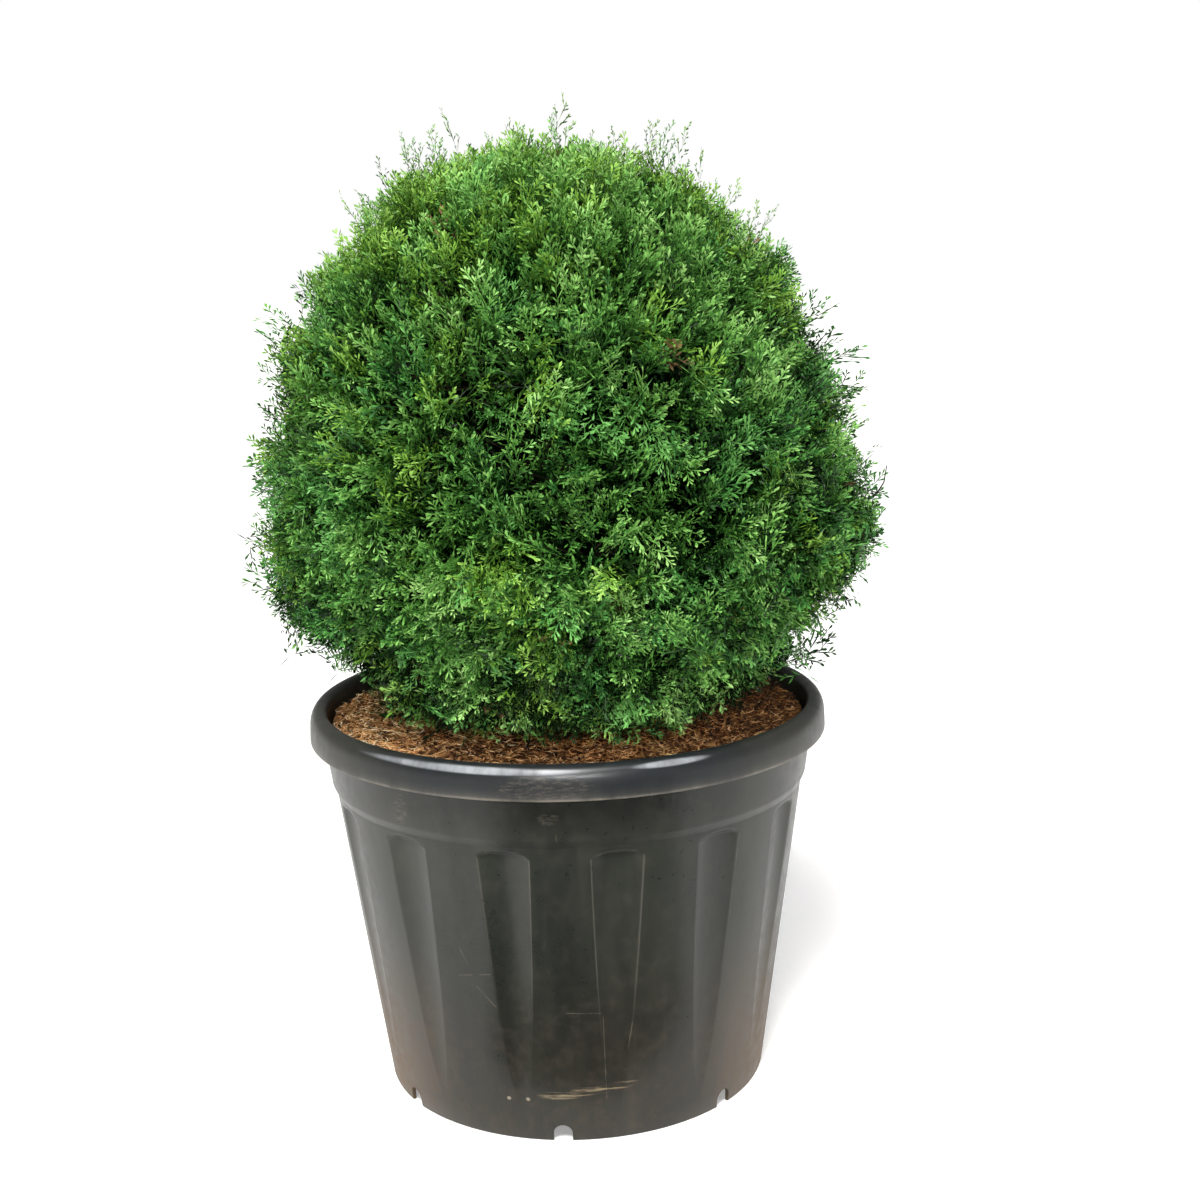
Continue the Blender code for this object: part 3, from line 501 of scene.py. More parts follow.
def pot_material():
    """Charcoal plastic, dusty at its foot and ledges and dusty with a painted sheen at its left and right sides, with
    pale worn edges, scuffs and thin scratches, painted shade under the rim, a painted dark reflection on the rim's
    front and back and painted highlight streaks on its shoulder.
    """
    material = principled("pot_plastic", (0.02, 0.022, 0.02), 0.3, 0.32)
    g = Graph(material)
    space = g.coordinates()
    parts = g.add("ShaderNodeSeparateXYZ")
    g.link(space, parts.inputs[0])
    x, y, z = parts.outputs
    cloudy = g.noise(space, 5.0, 5.0, 0.6)
    fine = g.noise(space, 60.0, 4.0, 0.65)
    streaky = g.noise(g.coordinates((14.0, 14.0, 1.6)), 1.6, 5.0, 0.62)
    low = g.ramp(z, 0.27, 0.0)
    rim = g.ramp(z, 0.405, 0.42)
    side = g.ramp(g.math("ABSOLUTE", x), 0.12, 0.27)
    dust_and_sheen = g.math("MULTIPLY", g.ramp(cloudy, 0.36, 0.72), 0.03)
    dust_and_sheen = g.math("ADD", dust_and_sheen, g.math("MULTIPLY", g.ramp(streaky, 0.42, 0.78), 0.03))
    dust_and_sheen = g.math("ADD", dust_and_sheen, g.math("MULTIPLY", low, 0.03))
    # Dust, with a painted sheen of grazing reflection, at the left and right sides as seen from the front; tan and
    # strongest towards the foot
    dust_and_sheen = g.math("ADD", dust_and_sheen, g.math("MULTIPLY", side, 0.09))
    dust_and_sheen = g.math("ADD", dust_and_sheen, g.math("MULTIPLY", g.math("MULTIPLY", low, side), 0.56))
    dust_and_sheen = g.math("ADD", dust_and_sheen, g.math("MULTIPLY", g.ramp(fine, 0.46, 0.72), 0.05))
    dust_and_sheen = g.math("MULTIPLY", dust_and_sheen, g.ramp(fine, 0.22, 0.62, 0.65, 1.0))
    # Painted reflection: where the rim faces front and back it is painted a darker blue-black and kept freer of dust,
    # as if it mirrored dark ground
    rim_painted_dark = g.math("MULTIPLY", rim, g.math("SUBTRACT", 1.0, side))
    dust_and_sheen = g.math("MULTIPLY", dust_and_sheen, g.math("SUBTRACT", 1.0, g.math("MULTIPLY", rim_painted_dark, 0.7)), clamp=True)
    plastic = g.mix(g.ramp(streaky, 0.3, 0.75), (0.0110, 0.0122, 0.0100), (0.0180, 0.0198, 0.0158))
    plastic = g.mix(g.math("MULTIPLY", rim_painted_dark, 0.8), plastic, (0.0105, 0.0135, 0.0180))
    # Painted shade under the rim's overhang: the plastic darkens upward from just above the flutes, over the band and
    # the rim
    plastic = g.mix(g.math("MULTIPLY", g.ramp(z, 0.335, 0.385), 0.45), plastic, (0.0060, 0.0066, 0.0058))
    color = g.mix(dust_and_sheen, plastic, g.mix(low, (0.130, 0.116, 0.092), (0.225, 0.132, 0.064)))
    lip = g.math("MULTIPLY", g.ramp(z, 0.4120, 0.4140), g.ramp(z, 0.4175, 0.4150))
    lip = g.math("MULTIPLY", lip, g.ramp(streaky, 0.35, 0.6, 0.10, 0.45))
    color = g.mix(lip, color, (0.17, 0.145, 0.115))
    wear = g.add("ShaderNodeAttribute", attribute_name="wear").outputs["Fac"]
    edges = g.math("MULTIPLY", g.math("POWER", wear, 3.0), g.ramp(streaky, 0.25, 0.7, 0.05, 0.24))
    color = g.mix(edges, color, (0.21, 0.195, 0.165))
    front = g.ramp(y, -0.10, -0.16)
    marks = largest(g, [scratch_mask(g, x, z, *scratch) for scratch in SCRATCHES])
    marks = g.math("MULTIPLY", marks, g.ramp(fine, 0.3, 0.6, 0.06, 0.30))
    crossed = g.noise(g.coordinates((110.0, 110.0, 520.0)), 1.0, 4.0, 0.75)
    scuffs = largest(g, [patch_mask(g, x, z, *scuff) for scuff in SCUFFS])
    scuffs = g.math("MULTIPLY", scuffs, g.ramp(crossed, 0.44, 0.70, 0.0, 0.26))
    dots = largest(g, [patch_mask(g, x, z, *dot) for dot in DOTS])
    worn = g.math("MULTIPLY", largest(g, [marks, scuffs, dots]), front)
    level = g.math("SUBTRACT", z, g.math("MULTIPLY", x, SMEAR_SLOPE))
    smear = g.math("MULTIPLY", largest(g, [patch_mask(g, x, level, *smear) for smear in SMEARS]), front)
    smear = g.math("MULTIPLY", smear, g.ramp(g.noise(g.coordinates((24.0, 24.0, 330.0)), 1.0, 4.0, 0.7), 0.46, 0.62))
    color = g.mix(g.math("MULTIPLY", smear, 0.75), color, (0.26, 0.20, 0.12))
    color = g.mix(g.math("MULTIPLY", worn, 0.7), color, (0.30, 0.25, 0.19))
    # Painted highlight: pale streaks along the rim's shoulder in front
    painted_highlights = g.math("MULTIPLY", largest(g, [patch_mask(g, x, z, *streak) for streak in RIM_HIGHLIGHT_STREAKS]), front)
    painted_highlights = g.math("MULTIPLY", painted_highlights, g.ramp(streaky, 0.30, 0.60, 0.25, 0.75))
    color = g.mix(painted_highlights, color, (0.30, 0.315, 0.335))
    g.link(color, g.shader.inputs["Base Color"])
    rough = g.math("ADD", g.math("MULTIPLY", dust_and_sheen, 0.6), g.ramp(fine, 0.3, 0.7, 0.26, 0.32), clamp=True)
    rough = g.math("ADD", rough, g.math("MULTIPLY", rim, 0.05), clamp=True)
    g.link(rough, g.shader.inputs["Roughness"])
    g.bump(fine, 0.08, 0.0012)
    return material


def largest(g, masks):
    """The largest of some masks at each place."""
    most = masks[0]
    for mask in masks[1:]:
        most = g.math("MAXIMUM", most, mask)
    return most


def scratch_mask(g, x, z, start, end, half):
    """1 within half a width of a straight line on the pot's front, seen level."""
    along = np.array(end, float) - start
    length = float(np.linalg.norm(along))
    ux, uz = (along / length).tolist()
    dx, dz = g.math("SUBTRACT", x, start[0]), g.math("SUBTRACT", z, start[1])
    run = g.math("ADD", g.math("MULTIPLY", dx, ux), g.math("MULTIPLY", dz, uz))
    off = g.math("SUBTRACT", g.math("MULTIPLY", dx, uz), g.math("MULTIPLY", dz, ux))
    beside = g.ramp(g.math("ABSOLUTE", off), half, half * 0.4)
    past = g.math("ABSOLUTE", g.math("SUBTRACT", run, length / 2))
    return g.math("MULTIPLY", beside, g.ramp(past, length / 2, length / 2 - 0.003))


def patch_mask(g, x, z, centre_x, centre_z, reach_x, reach_z):
    dx = g.math("DIVIDE", g.math("SUBTRACT", x, centre_x), reach_x)
    dz = g.math("DIVIDE", g.math("SUBTRACT", z, centre_z), reach_z)
    away = g.math("ADD", g.math("MULTIPLY", dx, dx), g.math("MULTIPLY", dz, dz))
    return g.ramp(away, 1.0, 0.2)


def soil_material():
    material = principled("potting_mix", (0.05, 0.03, 0.02), 0.95, 0.2)
    g = Graph(material)
    space = g.coordinates()
    crumbs = g.noise(space, 160.0, 5.0, 0.7)
    g.link(g.mix(g.ramp(crumbs, 0.35, 0.7), (0.022, 0.013, 0.009), (0.10, 0.060, 0.036)), g.shader.inputs["Base Color"])
    g.bump(crumbs, 0.8, 0.003)
    return material


# Mulch

def mulch_height(radius):
    """The mulch's top surface: level in the middle and heaped a little against the wall."""
    return np.interp(radius, [0.0, 0.155, MULCH_EDGE_RADIUS - 0.02, MULCH_EDGE_RADIUS],
                     [MULCH_CROWN_Z, MULCH_CROWN_Z, MULCH_CROWN_Z + 0.0020, MULCH_CROWN_Z + 0.0030])


def build_mulch_bed():
    """A rough, closed bed under the strands."""
    draw = np.random.default_rng(SEED)
    low = SOIL_TOP + GAP
    radii = np.linspace(0.034, MULCH_EDGE_RADIUS, 34)
    section = [(float(r), float(mulch_height(r)) - 0.0015) for r in radii]
    section += [(MULCH_EDGE_RADIUS, low), (0.034, low)]
    bed = turned_mesh("mulch_bed", [even_ring(r, z, 220) for r, z in section])
    count = len(bed.data.vertices)
    points = np.empty(count * 3, np.float32)
    bed.data.vertices.foreach_get("co", points)
    points = points.reshape(-1, 3)
    top = (points[:, 2] > SOIL_TOP + 0.006) & (np.hypot(points[:, 0], points[:, 1]) > 0.02)
    points[top, 2] += draw.uniform(-0.0022, 0.0006, top.sum())
    bed.data.vertices.foreach_set("co", points.ravel())
    bed.data.materials.append(bed_material())
    return place(bed, "bark_mulch", "mulch")


def bed_material():
    material = principled("mulch_bed", (0.10, 0.045, 0.02), 0.95, 0.2)
    g = Graph(material)
    space = g.coordinates()
    coarse = g.noise(space, 90.0, 5.0, 0.7)
    g.link(g.mix(g.ramp(coarse, 0.3, 0.7), (0.060, 0.028, 0.013), (0.36, 0.170, 0.070)), g.shader.inputs["Base Color"])
    g.bump(coarse, 0.9, 0.004)
    return material


# Bark colours, dark to light; the darkest is reached only where painted shade darkens the bark
MULCH_COLOURS = (
    (0.035, 0.016, 0.008), (0.120, 0.050, 0.020), (0.330, 0.145, 0.052), (0.540, 0.260, 0.092),
    (0.710, 0.400, 0.160), (0.850, 0.580, 0.290), (0.930, 0.780, 0.520),
)
# Painted shade: how many steps darker the bark is coloured, from left to right
MULCH_SHADE = ((-0.22, -0.12, 0.10, 0.24), (0.2, 0.9, 1.3, 2.4))


def build_strands():
    """Shredded bark: thin curled slivers lying over one another on the bed."""
    draw = np.random.default_rng(SEED + 1)
    steps = 4
    count = STRANDS
    radius = np.sqrt(draw.uniform(0.10**2, (MULCH_EDGE_RADIUS - 0.004) ** 2, count))
    azimuth = draw.uniform(0, 2 * math.pi, count)
    centre = np.stack([radius * np.cos(azimuth), radius * np.sin(azimuth), mulch_height(radius)], -1)
    lift = draw.uniform(-0.0005, 0.0085, count) * np.interp(radius, [0.15, 0.24], [1.0, 0.7])
    centre[:, 2] += lift
    heading = draw.uniform(0, 2 * math.pi, count)
    length = draw.gamma(3.0, 0.0040, count).clip(0.006, 0.034)
    width = draw.uniform(0.0009, 0.0026, count)
    curl = draw.normal(0, 2.2, count)
    tilt = draw.normal(0, 0.28, count)
    along = np.linspace(-0.5, 0.5, steps)
    rings = []
    for t in along:
        turn = heading + curl * t
        x = centre[:, 0] + np.cos(turn) * length * t
        y = centre[:, 1] + np.sin(turn) * length * t
        z = centre[:, 2] + tilt * length * t - 0.10 * length * t * t
        flat = np.hypot(x, y)
        pull = np.minimum(1.0, (MULCH_EDGE_RADIUS - 0.001) / flat)
        x, y = x * pull, y * pull
        z = np.maximum(z, mulch_height(np.hypot(x, y)) - 0.0008)
        across = np.stack([-np.sin(turn), np.cos(turn), np.zeros(count)], -1)
        half = (width * (1 - (2 * abs(t)) ** 3 * 0.75) / 2)[:, None]
        middle = np.stack([x, y, z], -1)
        up = np.array([0, 0, 1.0])
        rings.append(np.stack([middle - across * half, middle + across * half, middle + up * half * 0.8], 1))
    points = np.stack(rings, 1).reshape(-1, 3)
    base = np.arange(count)[:, None] * steps * 3
    faces = []
    for s in range(steps - 1):
        for a, b in ((0, 1), (1, 2), (2, 0)):
            p, q = s * 3 + a, s * 3 + b
            faces += [[p, q, q + 3], [p, q + 3, p + 3]]
    end = (steps - 1) * 3
    faces += [[0, 2, 1], [end, end + 1, end + 2]]
    faces = (base[:, :, None] + np.array(faces)[None]).reshape(-1, 3)
    colour = draw.choice(np.arange(1, len(MULCH_COLOURS)), count, p=[0.06, 0.15, 0.27, 0.27, 0.17, 0.08])
    # Painted shade, deeper towards the right
    colour = colour - np.interp(centre[:, 0], *MULCH_SHADE) * draw.uniform(0.3, 1.7, count)
    colour = np.clip(np.round(colour), 0, len(MULCH_COLOURS) - 1).astype(int)
    slots = np.repeat(colour, len(faces) // count)
    materials = [principled(f"strand_{i}", c, 0.85, 0.25) for i, c in enumerate(MULCH_COLOURS)]
    return place(mesh_of("mulch_strands", points, faces, slots, materials), "bark_mulch", "mulch")


# Trunk and boughs

def trunk_place(z):
    rise = (z - SOIL_TOP) / (TRUNK_TIP_Z - SOIL_TOP)
    sway = TRUNK_SWAY * math.sin(math.pi * 1.6 * rise) * rise
    return Vector((sway, -0.6 * sway, z))


def trunk_radius(z):
    rise = (z - SOIL_TOP) / (TRUNK_TIP_Z - SOIL_TOP)
    foot = max(0.0, 1 - (z - SOIL_TOP) / FLARE_HEIGHT)
    return (TRUNK_RADIUS + (TRUNK_TIP_RADIUS - TRUNK_RADIUS) * rise) * (1 + FLARE * foot**2)


def bough_line(azimuth, root_z, tip_radius, tip_z):
    root = trunk_place(root_z)
    tip = azimuth_vector(azimuth) * tip_radius + Vector((0, 0, tip_z))
    knee = root.lerp(tip, BOUGH_KNEE) - Vector((0, 0, BOUGH_SAG * (tip_z - root_z) + BOUGH_DROP))
    bend = knee.lerp(tip, BOUGH_KNEE) - Vector((0, 0, BOUGH_DROP / 3))
    return [root, root.lerp(knee, 1 - BOUGH_KNEE), knee, bend, tip]


def tube(name, line, radii, sides, rows, relief, seed):
    """A limb's skin along a line, with the furrows and strips of fibrous bark."""
    line = np.array([tuple(p) for p in line])
    run = np.concatenate([[0], np.cumsum(np.linalg.norm(np.diff(line, axis=0), axis=1))])
    at = np.linspace(0, run[-1], rows)
    middle = np.stack([np.interp(at, run, line[:, k]) for k in range(3)], -1)
    reach = np.interp(at, run, radii)
    tangent = np.gradient(middle, axis=0)
    tangent /= np.linalg.norm(tangent, axis=1)[:, None]
    side = np.cross(tangent, [0.0, 1.0, 0.0])
    side /= np.linalg.norm(side, axis=1)[:, None]
    other = np.cross(tangent, side)
    angle = np.arange(sides) * 2 * math.pi / sides
    draw = np.random.default_rng(seed)
    furrow = np.zeros((rows, sides))
    for k in range(7):
        waves = draw.integers(3, 11)
        furrow += np.sin(waves * angle[None] + draw.uniform(0, 6.3) + draw.uniform(6, 30) * at[:, None]) / 7
        furrow += 0.25 * np.sin(draw.uniform(120, 420) * at[:, None] + waves * angle[None] * 2) / 7
    depth = relief * (furrow - 1.0)
    skin = reach[:, None] * (1 + depth)
    points = middle[:, None] + skin[..., None] * (
        np.cos(angle)[None, :, None] * side[:, None] + np.sin(angle)[None, :, None] * other[:, None])
    points = np.concatenate([points.reshape(-1, 3), middle[:1], middle[-1:]])
    here = np.arange(sides)
    following = (here + 1) % sides
    faces = []
    for row in range(rows - 1):
        a, b = row * sides + here, row * sides + following
        faces += [np.stack([a, b, b + sides], -1), np.stack([a, b + sides, a + sides], -1)]
    end = (rows - 1) * sides
    faces.append(np.stack([following, here, np.full(sides, rows * sides)], -1))
    faces.append(np.stack([end + here, end + following, np.full(sides, rows * sides + 1)], -1))
    return mesh_of(name, points, np.concatenate(faces))


def bark_material():
    material = principled("bark", (0.16, 0.10, 0.065), 0.9, 0.2)
    g = Graph(material)
    strips = g.noise(g.coordinates((150.0, 150.0, 14.0)), 1.0, 6.0, 0.62)
    g.link(g.mix(g.ramp(strips, 0.35, 0.68), (0.060, 0.033, 0.020), (0.27, 0.18, 0.12)), g.shader.inputs["Base Color"])
    g.bump(strips, 0.7, 0.002)
    return material


def bough_facts():
    """(mass name, bough) for every mass that has one, as in the solids."""
    facts = []
    for i in range(LOWER_MASSES):
        azimuth = LOWER_AZIMUTH + i * 360 / LOWER_MASSES
        root_z = LOWER_BOUGH_Z + LOWER_BOUGH_STEP * (i * 3 % LOWER_MASSES)
        bough = (azimuth, root_z, LOWER_BOUGH_REACH, LOWER_TIP_Z + LOWER_TIP_STEP * (i % 2))
        facts.append((f"foliage_lower_{i + 1}", bough))
    for i in range(UPPER_MASSES):
        azimuth = UPPER_AZIMUTH + i * 360 / UPPER_MASSES
        root_z = UPPER_BOUGH_Z + UPPER_BOUGH_STEP * (i * 2 % UPPER_MASSES)
        bough = (azimuth, root_z, UPPER_BOUGH_REACH, UPPER_TIP_Z + UPPER_TIP_STEP * (i % 2))
        facts.append((f"foliage_upper_{i + 1}", bough))
    return facts


def build_limbs(bark):
    heights = np.linspace(SOIL_TOP + GAP, TRUNK_TIP_Z, 40)
    line = [trunk_place(z) for z in heights]
    trunk = tube("trunk_bark", line, [trunk_radius(z) for z in heights], 40, 130, 0.07, SEED)
    trunk.data.materials.append(bark)
    place(trunk, "bark", "trunk")
    for i, (name, bough) in enumerate(bough_facts()):
        node = name.replace("foliage", "bough")
        radii = np.linspace(BOUGH_ROOT_RADIUS, BOUGH_TIP_RADIUS, 5)
        skin = tube(node + "_bark", bough_line(*bough), radii, 18, 44, 0.07, SEED + i + 1)
        skin.data.materials.append(bark)
        place(skin, "bark", node)


# The crown's form, as in the solids, for arrays of places

def crown_radius(z):
    z = np.asarray(z, float)
    up = np.clip((z - CROWN_WIDEST_Z) / (CROWN_TOP_Z - CROWN_WIDEST_Z), 0, 1)
    down = np.clip((CROWN_WIDEST_Z - z) / LOWER_REACH, 0, 1)
    radius = np.where(z >= CROWN_WIDEST_Z, (1 - up**UPPER_POWER) ** (1 / UPPER_POWER),
                      (1 - down**LOWER_POWER) ** (1 / LOWER_POWER)) * CROWN_RADIUS
    hem = np.clip((HEM_Z - z) / (HEM_Z - CROWN_BOTTOM_Z), 0, 1)
    return radius * np.sqrt(1 - hem**2)


def crown_point(azimuth, z):
    azimuth, z = np.asarray(azimuth, float), np.asarray(z, float)
    bump = 0.010 * np.sin(np.radians(2 * azimuth + 40)) * np.sin((z - 0.4) * 9)
    bump = bump + 0.006 * np.sin(np.radians(5 * azimuth) + z * 14)
    for middle, height, out, reach in BULGES:
        turn = (azimuth - middle + 180) % 360 - 180
        bump = bump + out * np.exp(-((turn / BULGE_WIDTH) ** 2) - ((z - height) / reach) ** 2)
    radius = crown_radius(z)
    radius = radius + bump * np.minimum(1.0, radius / 0.2)
    made = azimuth_vectors(azimuth) * radius[..., None]
    made[..., 0] += LEAN * (z - 0.74)
    made[..., 2] += z
    return made


def crown_normal(azimuth, z):
    across = crown_point(azimuth + 2, z) - crown_point(azimuth - 2, z)
    low = np.maximum(z - 0.006, CROWN_BOTTOM_Z + 0.001)
    high = np.minimum(z + 0.006, CROWN_TOP_Z - 0.001)
    along = crown_point(azimuth, high) - crown_point(azimuth, low)
    normal = np.cross(across, along)
    return normal / np.linalg.norm(normal, axis=-1)[..., None]


def lattice(count, seed):
    """Seeded places spread evenly over the clipped face, as azimuths and heights."""
    draw = np.random.default_rng(seed)
    i = np.arange(count)
    level = 1 - 2 * (i + 0.5) / count
    level = np.clip(level + draw.uniform(-0.5, 0.5, count) * 4 / count, -0.985, 0.992)
    azimuth = (i * 180 * (3 - math.sqrt(5)) + draw.uniform(-3, 3, count)) % 360 - 180
    reach = np.where(level > 0, CROWN_TOP_Z - CROWN_WIDEST_Z, CROWN_WIDEST_Z - CROWN_BOTTOM_Z)
    return azimuth, CROWN_WIDEST_Z + reach * level


def capped_lattice(count, seed):
    """The lattice, with more places close round the very top."""
    azimuth, z = lattice(count, seed)
    more = max(1, round(count * CAP_SHARE))
    radius = CAP_RADIUS * np.sqrt((np.arange(more) + 0.5) / more)
    level = (1 - (radius / CROWN_RADIUS) ** UPPER_POWER) ** (1 / UPPER_POWER)
    turn = (np.arange(more) * 137.5 + seed * 31) % 360 - 180
    cap_z = CROWN_WIDEST_Z + (CROWN_TOP_Z - 0.0005 - CROWN_WIDEST_Z) * level
    return np.concatenate([azimuth, turn]), np.concatenate([z, cap_z])


def mass_of(points):
    """The number of the mass whose space holds each point: lower ones, upper ones, then the top."""
    azimuth = np.degrees(np.arctan2(points[:, 1], points[:, 0])) + 90
    lower = np.round((azimuth - 8) / (360 / LOWER_MASSES)).astype(int) % LOWER_MASSES
    upper = np.round((azimuth + 22) / (360 / UPPER_MASSES)).astype(int) % UPPER_MASSES
    outward = azimuth_vectors(-22 + upper * 360 / UPPER_MASSES)
    slope = math.radians(TOP_RING_SLOPE)
    flat = (points * outward).sum(-1)
    above = (TOP_RING_RADIUS - flat) * math.sin(slope) + (points[:, 2] - TOP_RING_Z) * math.cos(slope)
    mass = np.where(points[:, 2] < TIER_Z, lower, LOWER_MASSES + upper)
    return np.where((above > 0) & (points[:, 2] > TIER_Z), LOWER_MASSES + UPPER_MASSES, mass)


# Leaf sprays

class Blades:
    """Gathers the small pointed leaves of a spray, each of two triangles."""

    def __init__(self, draw, width):
        self.draw, self.width = draw, width
        self.points, self.faces, self.tones = [], [], []

    def add(self, start, angle, length, width, tone, lift=0.0, widest=LEAF_WIDEST):
        """A leaf a little turned about its own length, lighter in its outer half, as paler new growth and painted light
        on the tip. Returns its tip.
        """
        x, y, z = start
        ax, ay, half = math.cos(angle), math.sin(angle), width * self.width / 2
        roll = self.draw.uniform(-0.6, 0.6) * half * 2
        first = len(self.points)
        cx, cy, cz = x + ax * length * widest, y + ay * length * widest, z + lift * widest
        tip = (x + ax * length, y + ay * length, z + lift)
        self.points += [start, (cx - ay * half, cy + ax * half, cz + roll)]
        self.points += [(cx + ay * half, cy - ax * half, cz - roll), tip]
        self.faces += [(first, first + 2, first + 1), (first + 1, first + 2, first + 3)]
        self.tones += [tone, tone + 0.7]
        return tip

    def arrays(self):
        return np.array(self.points), np.array(self.faces), np.array(self.tones)


def spray_template(draw, spread=1.0, first_branch=0.22, width=BLADE_WIDTH, leaf_share=1.0):
    """A flat fan of scaly branchlets 1 long: arrays of points and triangles, and each triangle's tone."""
    blades = Blades(draw, width)
    bend = draw.uniform(-0.12, 0.12)
    # Tones darken the spine and inner branches as painted shade and lighten the twiglets, forks and end leaf, partly as
    # paler new growth and partly as painted light
    spine = [(t, bend * math.sin(t * 2.2), 0.0) for t in (0.0, 0.32, 0.64, 0.92)]
    for i, (near, far) in enumerate(zip(spine, spine[1:])):
        run, rise = far[0] - near[0], far[1] - near[1]
        blades.add(near, math.atan2(rise, run), math.hypot(run, rise) * 1.08, 0.55, i - 2.6, 0.0, 0.5)
    for k in range(BRANCHES):
        t = first_branch + (0.90 - first_branch) * k / (BRANCHES - 1) + draw.uniform(-0.02, 0.02)
        length = 0.36 * math.sin(math.pi * (0.26 + 0.62 * t)) * draw.uniform(0.75, 1.15) + 0.07
        length *= 0.5 + 0.5 * spread
        angle = (1 if k % 2 else -1) * math.radians(draw.uniform(36, 54) - 16 * t) * spread + bend
        lift = draw.uniform(-0.09, 0.09)
        tone = -3.2 + 3.6 * t
        start = (t, bend * math.sin(t * 2.2), 0.0)
        end = blades.add(start, angle, length, 0.6, tone - 0.6, lift, 0.6)
        for j in range(TWIGLETS):
            share = 0.26 + 0.62 * j / TWIGLETS
            place = tuple(a + (b - a) * share for a, b in zip(start, end))
            turn = angle + (1 if j % 2 else -1) * math.radians(draw.uniform(26, 44)) * (0.4 + 0.6 * spread)
            size = draw.uniform(*TWIGLET_LENGTHS) * (1.1 - 0.4 * share) * leaf_share
            blades.add(place, turn, size, 1.12, tone + 0.5 * share, draw.uniform(-0.06, 0.06))
        fork = tuple(a + (b - a) * 0.84 for a, b in zip(start, end))
        for turn in (-0.36, 0.36):
            size = draw.uniform(*TWIGLET_LENGTHS) * 0.80 * leaf_share
            blades.add(fork, angle + turn, size, 0.95, tone + 0.8, draw.uniform(-0.02, 0.02))
    blades.add(spine[-1], draw.uniform(-0.3, 0.3), 0.11, 0.95, 1.2)
    points, faces, tones = blades.arrays()
    points[:, 2] += 0.25 * points[:, 1] ** 2 * draw.choice([-1, 1])
    return points, faces, tones


def fan_template():
    """The solids' toothed spray, 1 long: a broad fan whose near-black colour is painted shade inside the crown."""
    side = [(0.0, 0.05), (0.20, 0.26), (0.33, 0.17), (0.52, 0.46), (0.60, 0.25), (0.78, 0.42), (0.84, 0.20)]
    ring = side + [(1.0, 0.0)] + [(along, -across) for along, across in reversed(side)]
    points = np.array([(along, across * 0.63, 0.0) for along, across in ring] + [(0.42, 0.0, 0.03)])
    count = len(ring)
    faces = np.array([(i, (i + 1) % count, count) for i in range(count)])
    return points, faces, np.zeros(count)


def spray_frames(direction, spin):
    """Unit vectors along, across and normal to each spray."""
    along = direction / np.linalg.norm(direction, axis=1)[:, None]
    helper = np.where(np.abs(along[:, 2:3]) > 0.9, [[1.0, 0.0, 0.0]], [[0.0, 0.0, 1.0]])
    side = np.cross(along, helper)
    side /= np.linalg.norm(side, axis=1)[:, None]
    other = np.cross(along, side)
    across = np.cos(spin)[:, None] * side + np.sin(spin)[:, None] * other
    return along, across, np.cross(along, across)


def clear_of_pot(points):
    """True for each spray that keeps off the rim, the wall and the mulch."""
    flat = np.hypot(points[..., 0], points[..., 1])
    z = points[..., 2]
    in_rim = (z < POT_HEIGHT + 0.0015) & (flat > RIM_INNER_RADIUS - 0.003)
    in_mulch = z < mulch_height(flat) + 0.001
    return ~(in_rim | in_mulch).any(-1)


class Foliage:
    """Gathers sprays by mass, and makes one mesh for each."""

    def __init__(self):
        self.pieces = {m: ([], [], []) for m in range(LOWER_MASSES + UPPER_MASSES + 1)}

    def plant(self, templates, root, direction, length, draw, spin, tone, family):
        """Places a template, drawn by lot, at each root. The arguments after draw are arrays over the sprays."""
        kind = draw.integers(0, len(templates), len(root))
        bend = draw.normal(0, 0.10, len(root))
        for k, template in enumerate(templates):
            m = kind == k
            self.add(template, root[m], direction[m], length[m], bend[m], spin[m], tone[m], family[m], draw)

    def add(self, template, root, direction, length, bend, spin, tone, family, draw):
        points, faces, tones = template
        along, across, normal = spray_frames(direction, spin)
        x, y, z = points[:, 0][None], points[:, 1][None], points[:, 2][None]
        lift = z + bend[:, None] * x * x
        world = root[:, None] + length[:, None, None] * (
            x[..., None] * along[:, None] + y[..., None] * across[:, None] + lift[..., None] * normal[:, None])
        keep = clear_of_pot(world)
        world, tone, family = world[keep], tone[keep], family[keep][:, None]
        mass = mass_of(root[keep] + (direction * length[:, None])[keep] * 0.6)
        level = tone[:, None] + tones[None] + draw.normal(0, 0.45, (len(world), len(tones)))
        slot = np.clip(np.round(level) + FIRSTS[PLAIN], 0, FIRSTS[YELLOW] - 1).astype(int)
        for kind, least, darker in ((YELLOW, 1.0, 1.4), (COOL, 1.2, 1.6), (BROWN, -9.0, 3.2)):
            other = np.clip(np.round(level - darker), 0, len(FAMILIES[kind][1]) - 1).astype(int) + FIRSTS[kind]
            slot = np.where((family == kind) & (level > least), other, slot)
        for m in np.unique(mass):
            mine = mass == m
            store = self.pieces[int(m)]
            store[0].append(world[mine].reshape(-1, 3))
            store[1].append((faces, int(mine.sum()), len(points)))
            store[2].append(slot[mine].reshape(-1))

    def build(self, materials):
        names = [name for name, _ in bough_facts()] + ["foliage_top"]
        total = 0
        for m, name in enumerate(names):
            points, shapes, slots = self.pieces[m]
            first, faces = 0, []
            for shape, sprays, size in shapes:
                offset = first + np.arange(sprays)[:, None, None] * size
                faces.append((shape[None] + offset).reshape(-1, 3))
                first += sprays * size
            faces = np.concatenate(faces)
            total += len(faces)
            leaves = mesh_of(name.replace("foliage", "leaves"), np.concatenate(points), faces,
                             np.concatenate(slots), materials, smooth=False)
            place(leaves, "foliage", name)
        print(f"leaf triangles: {total}")


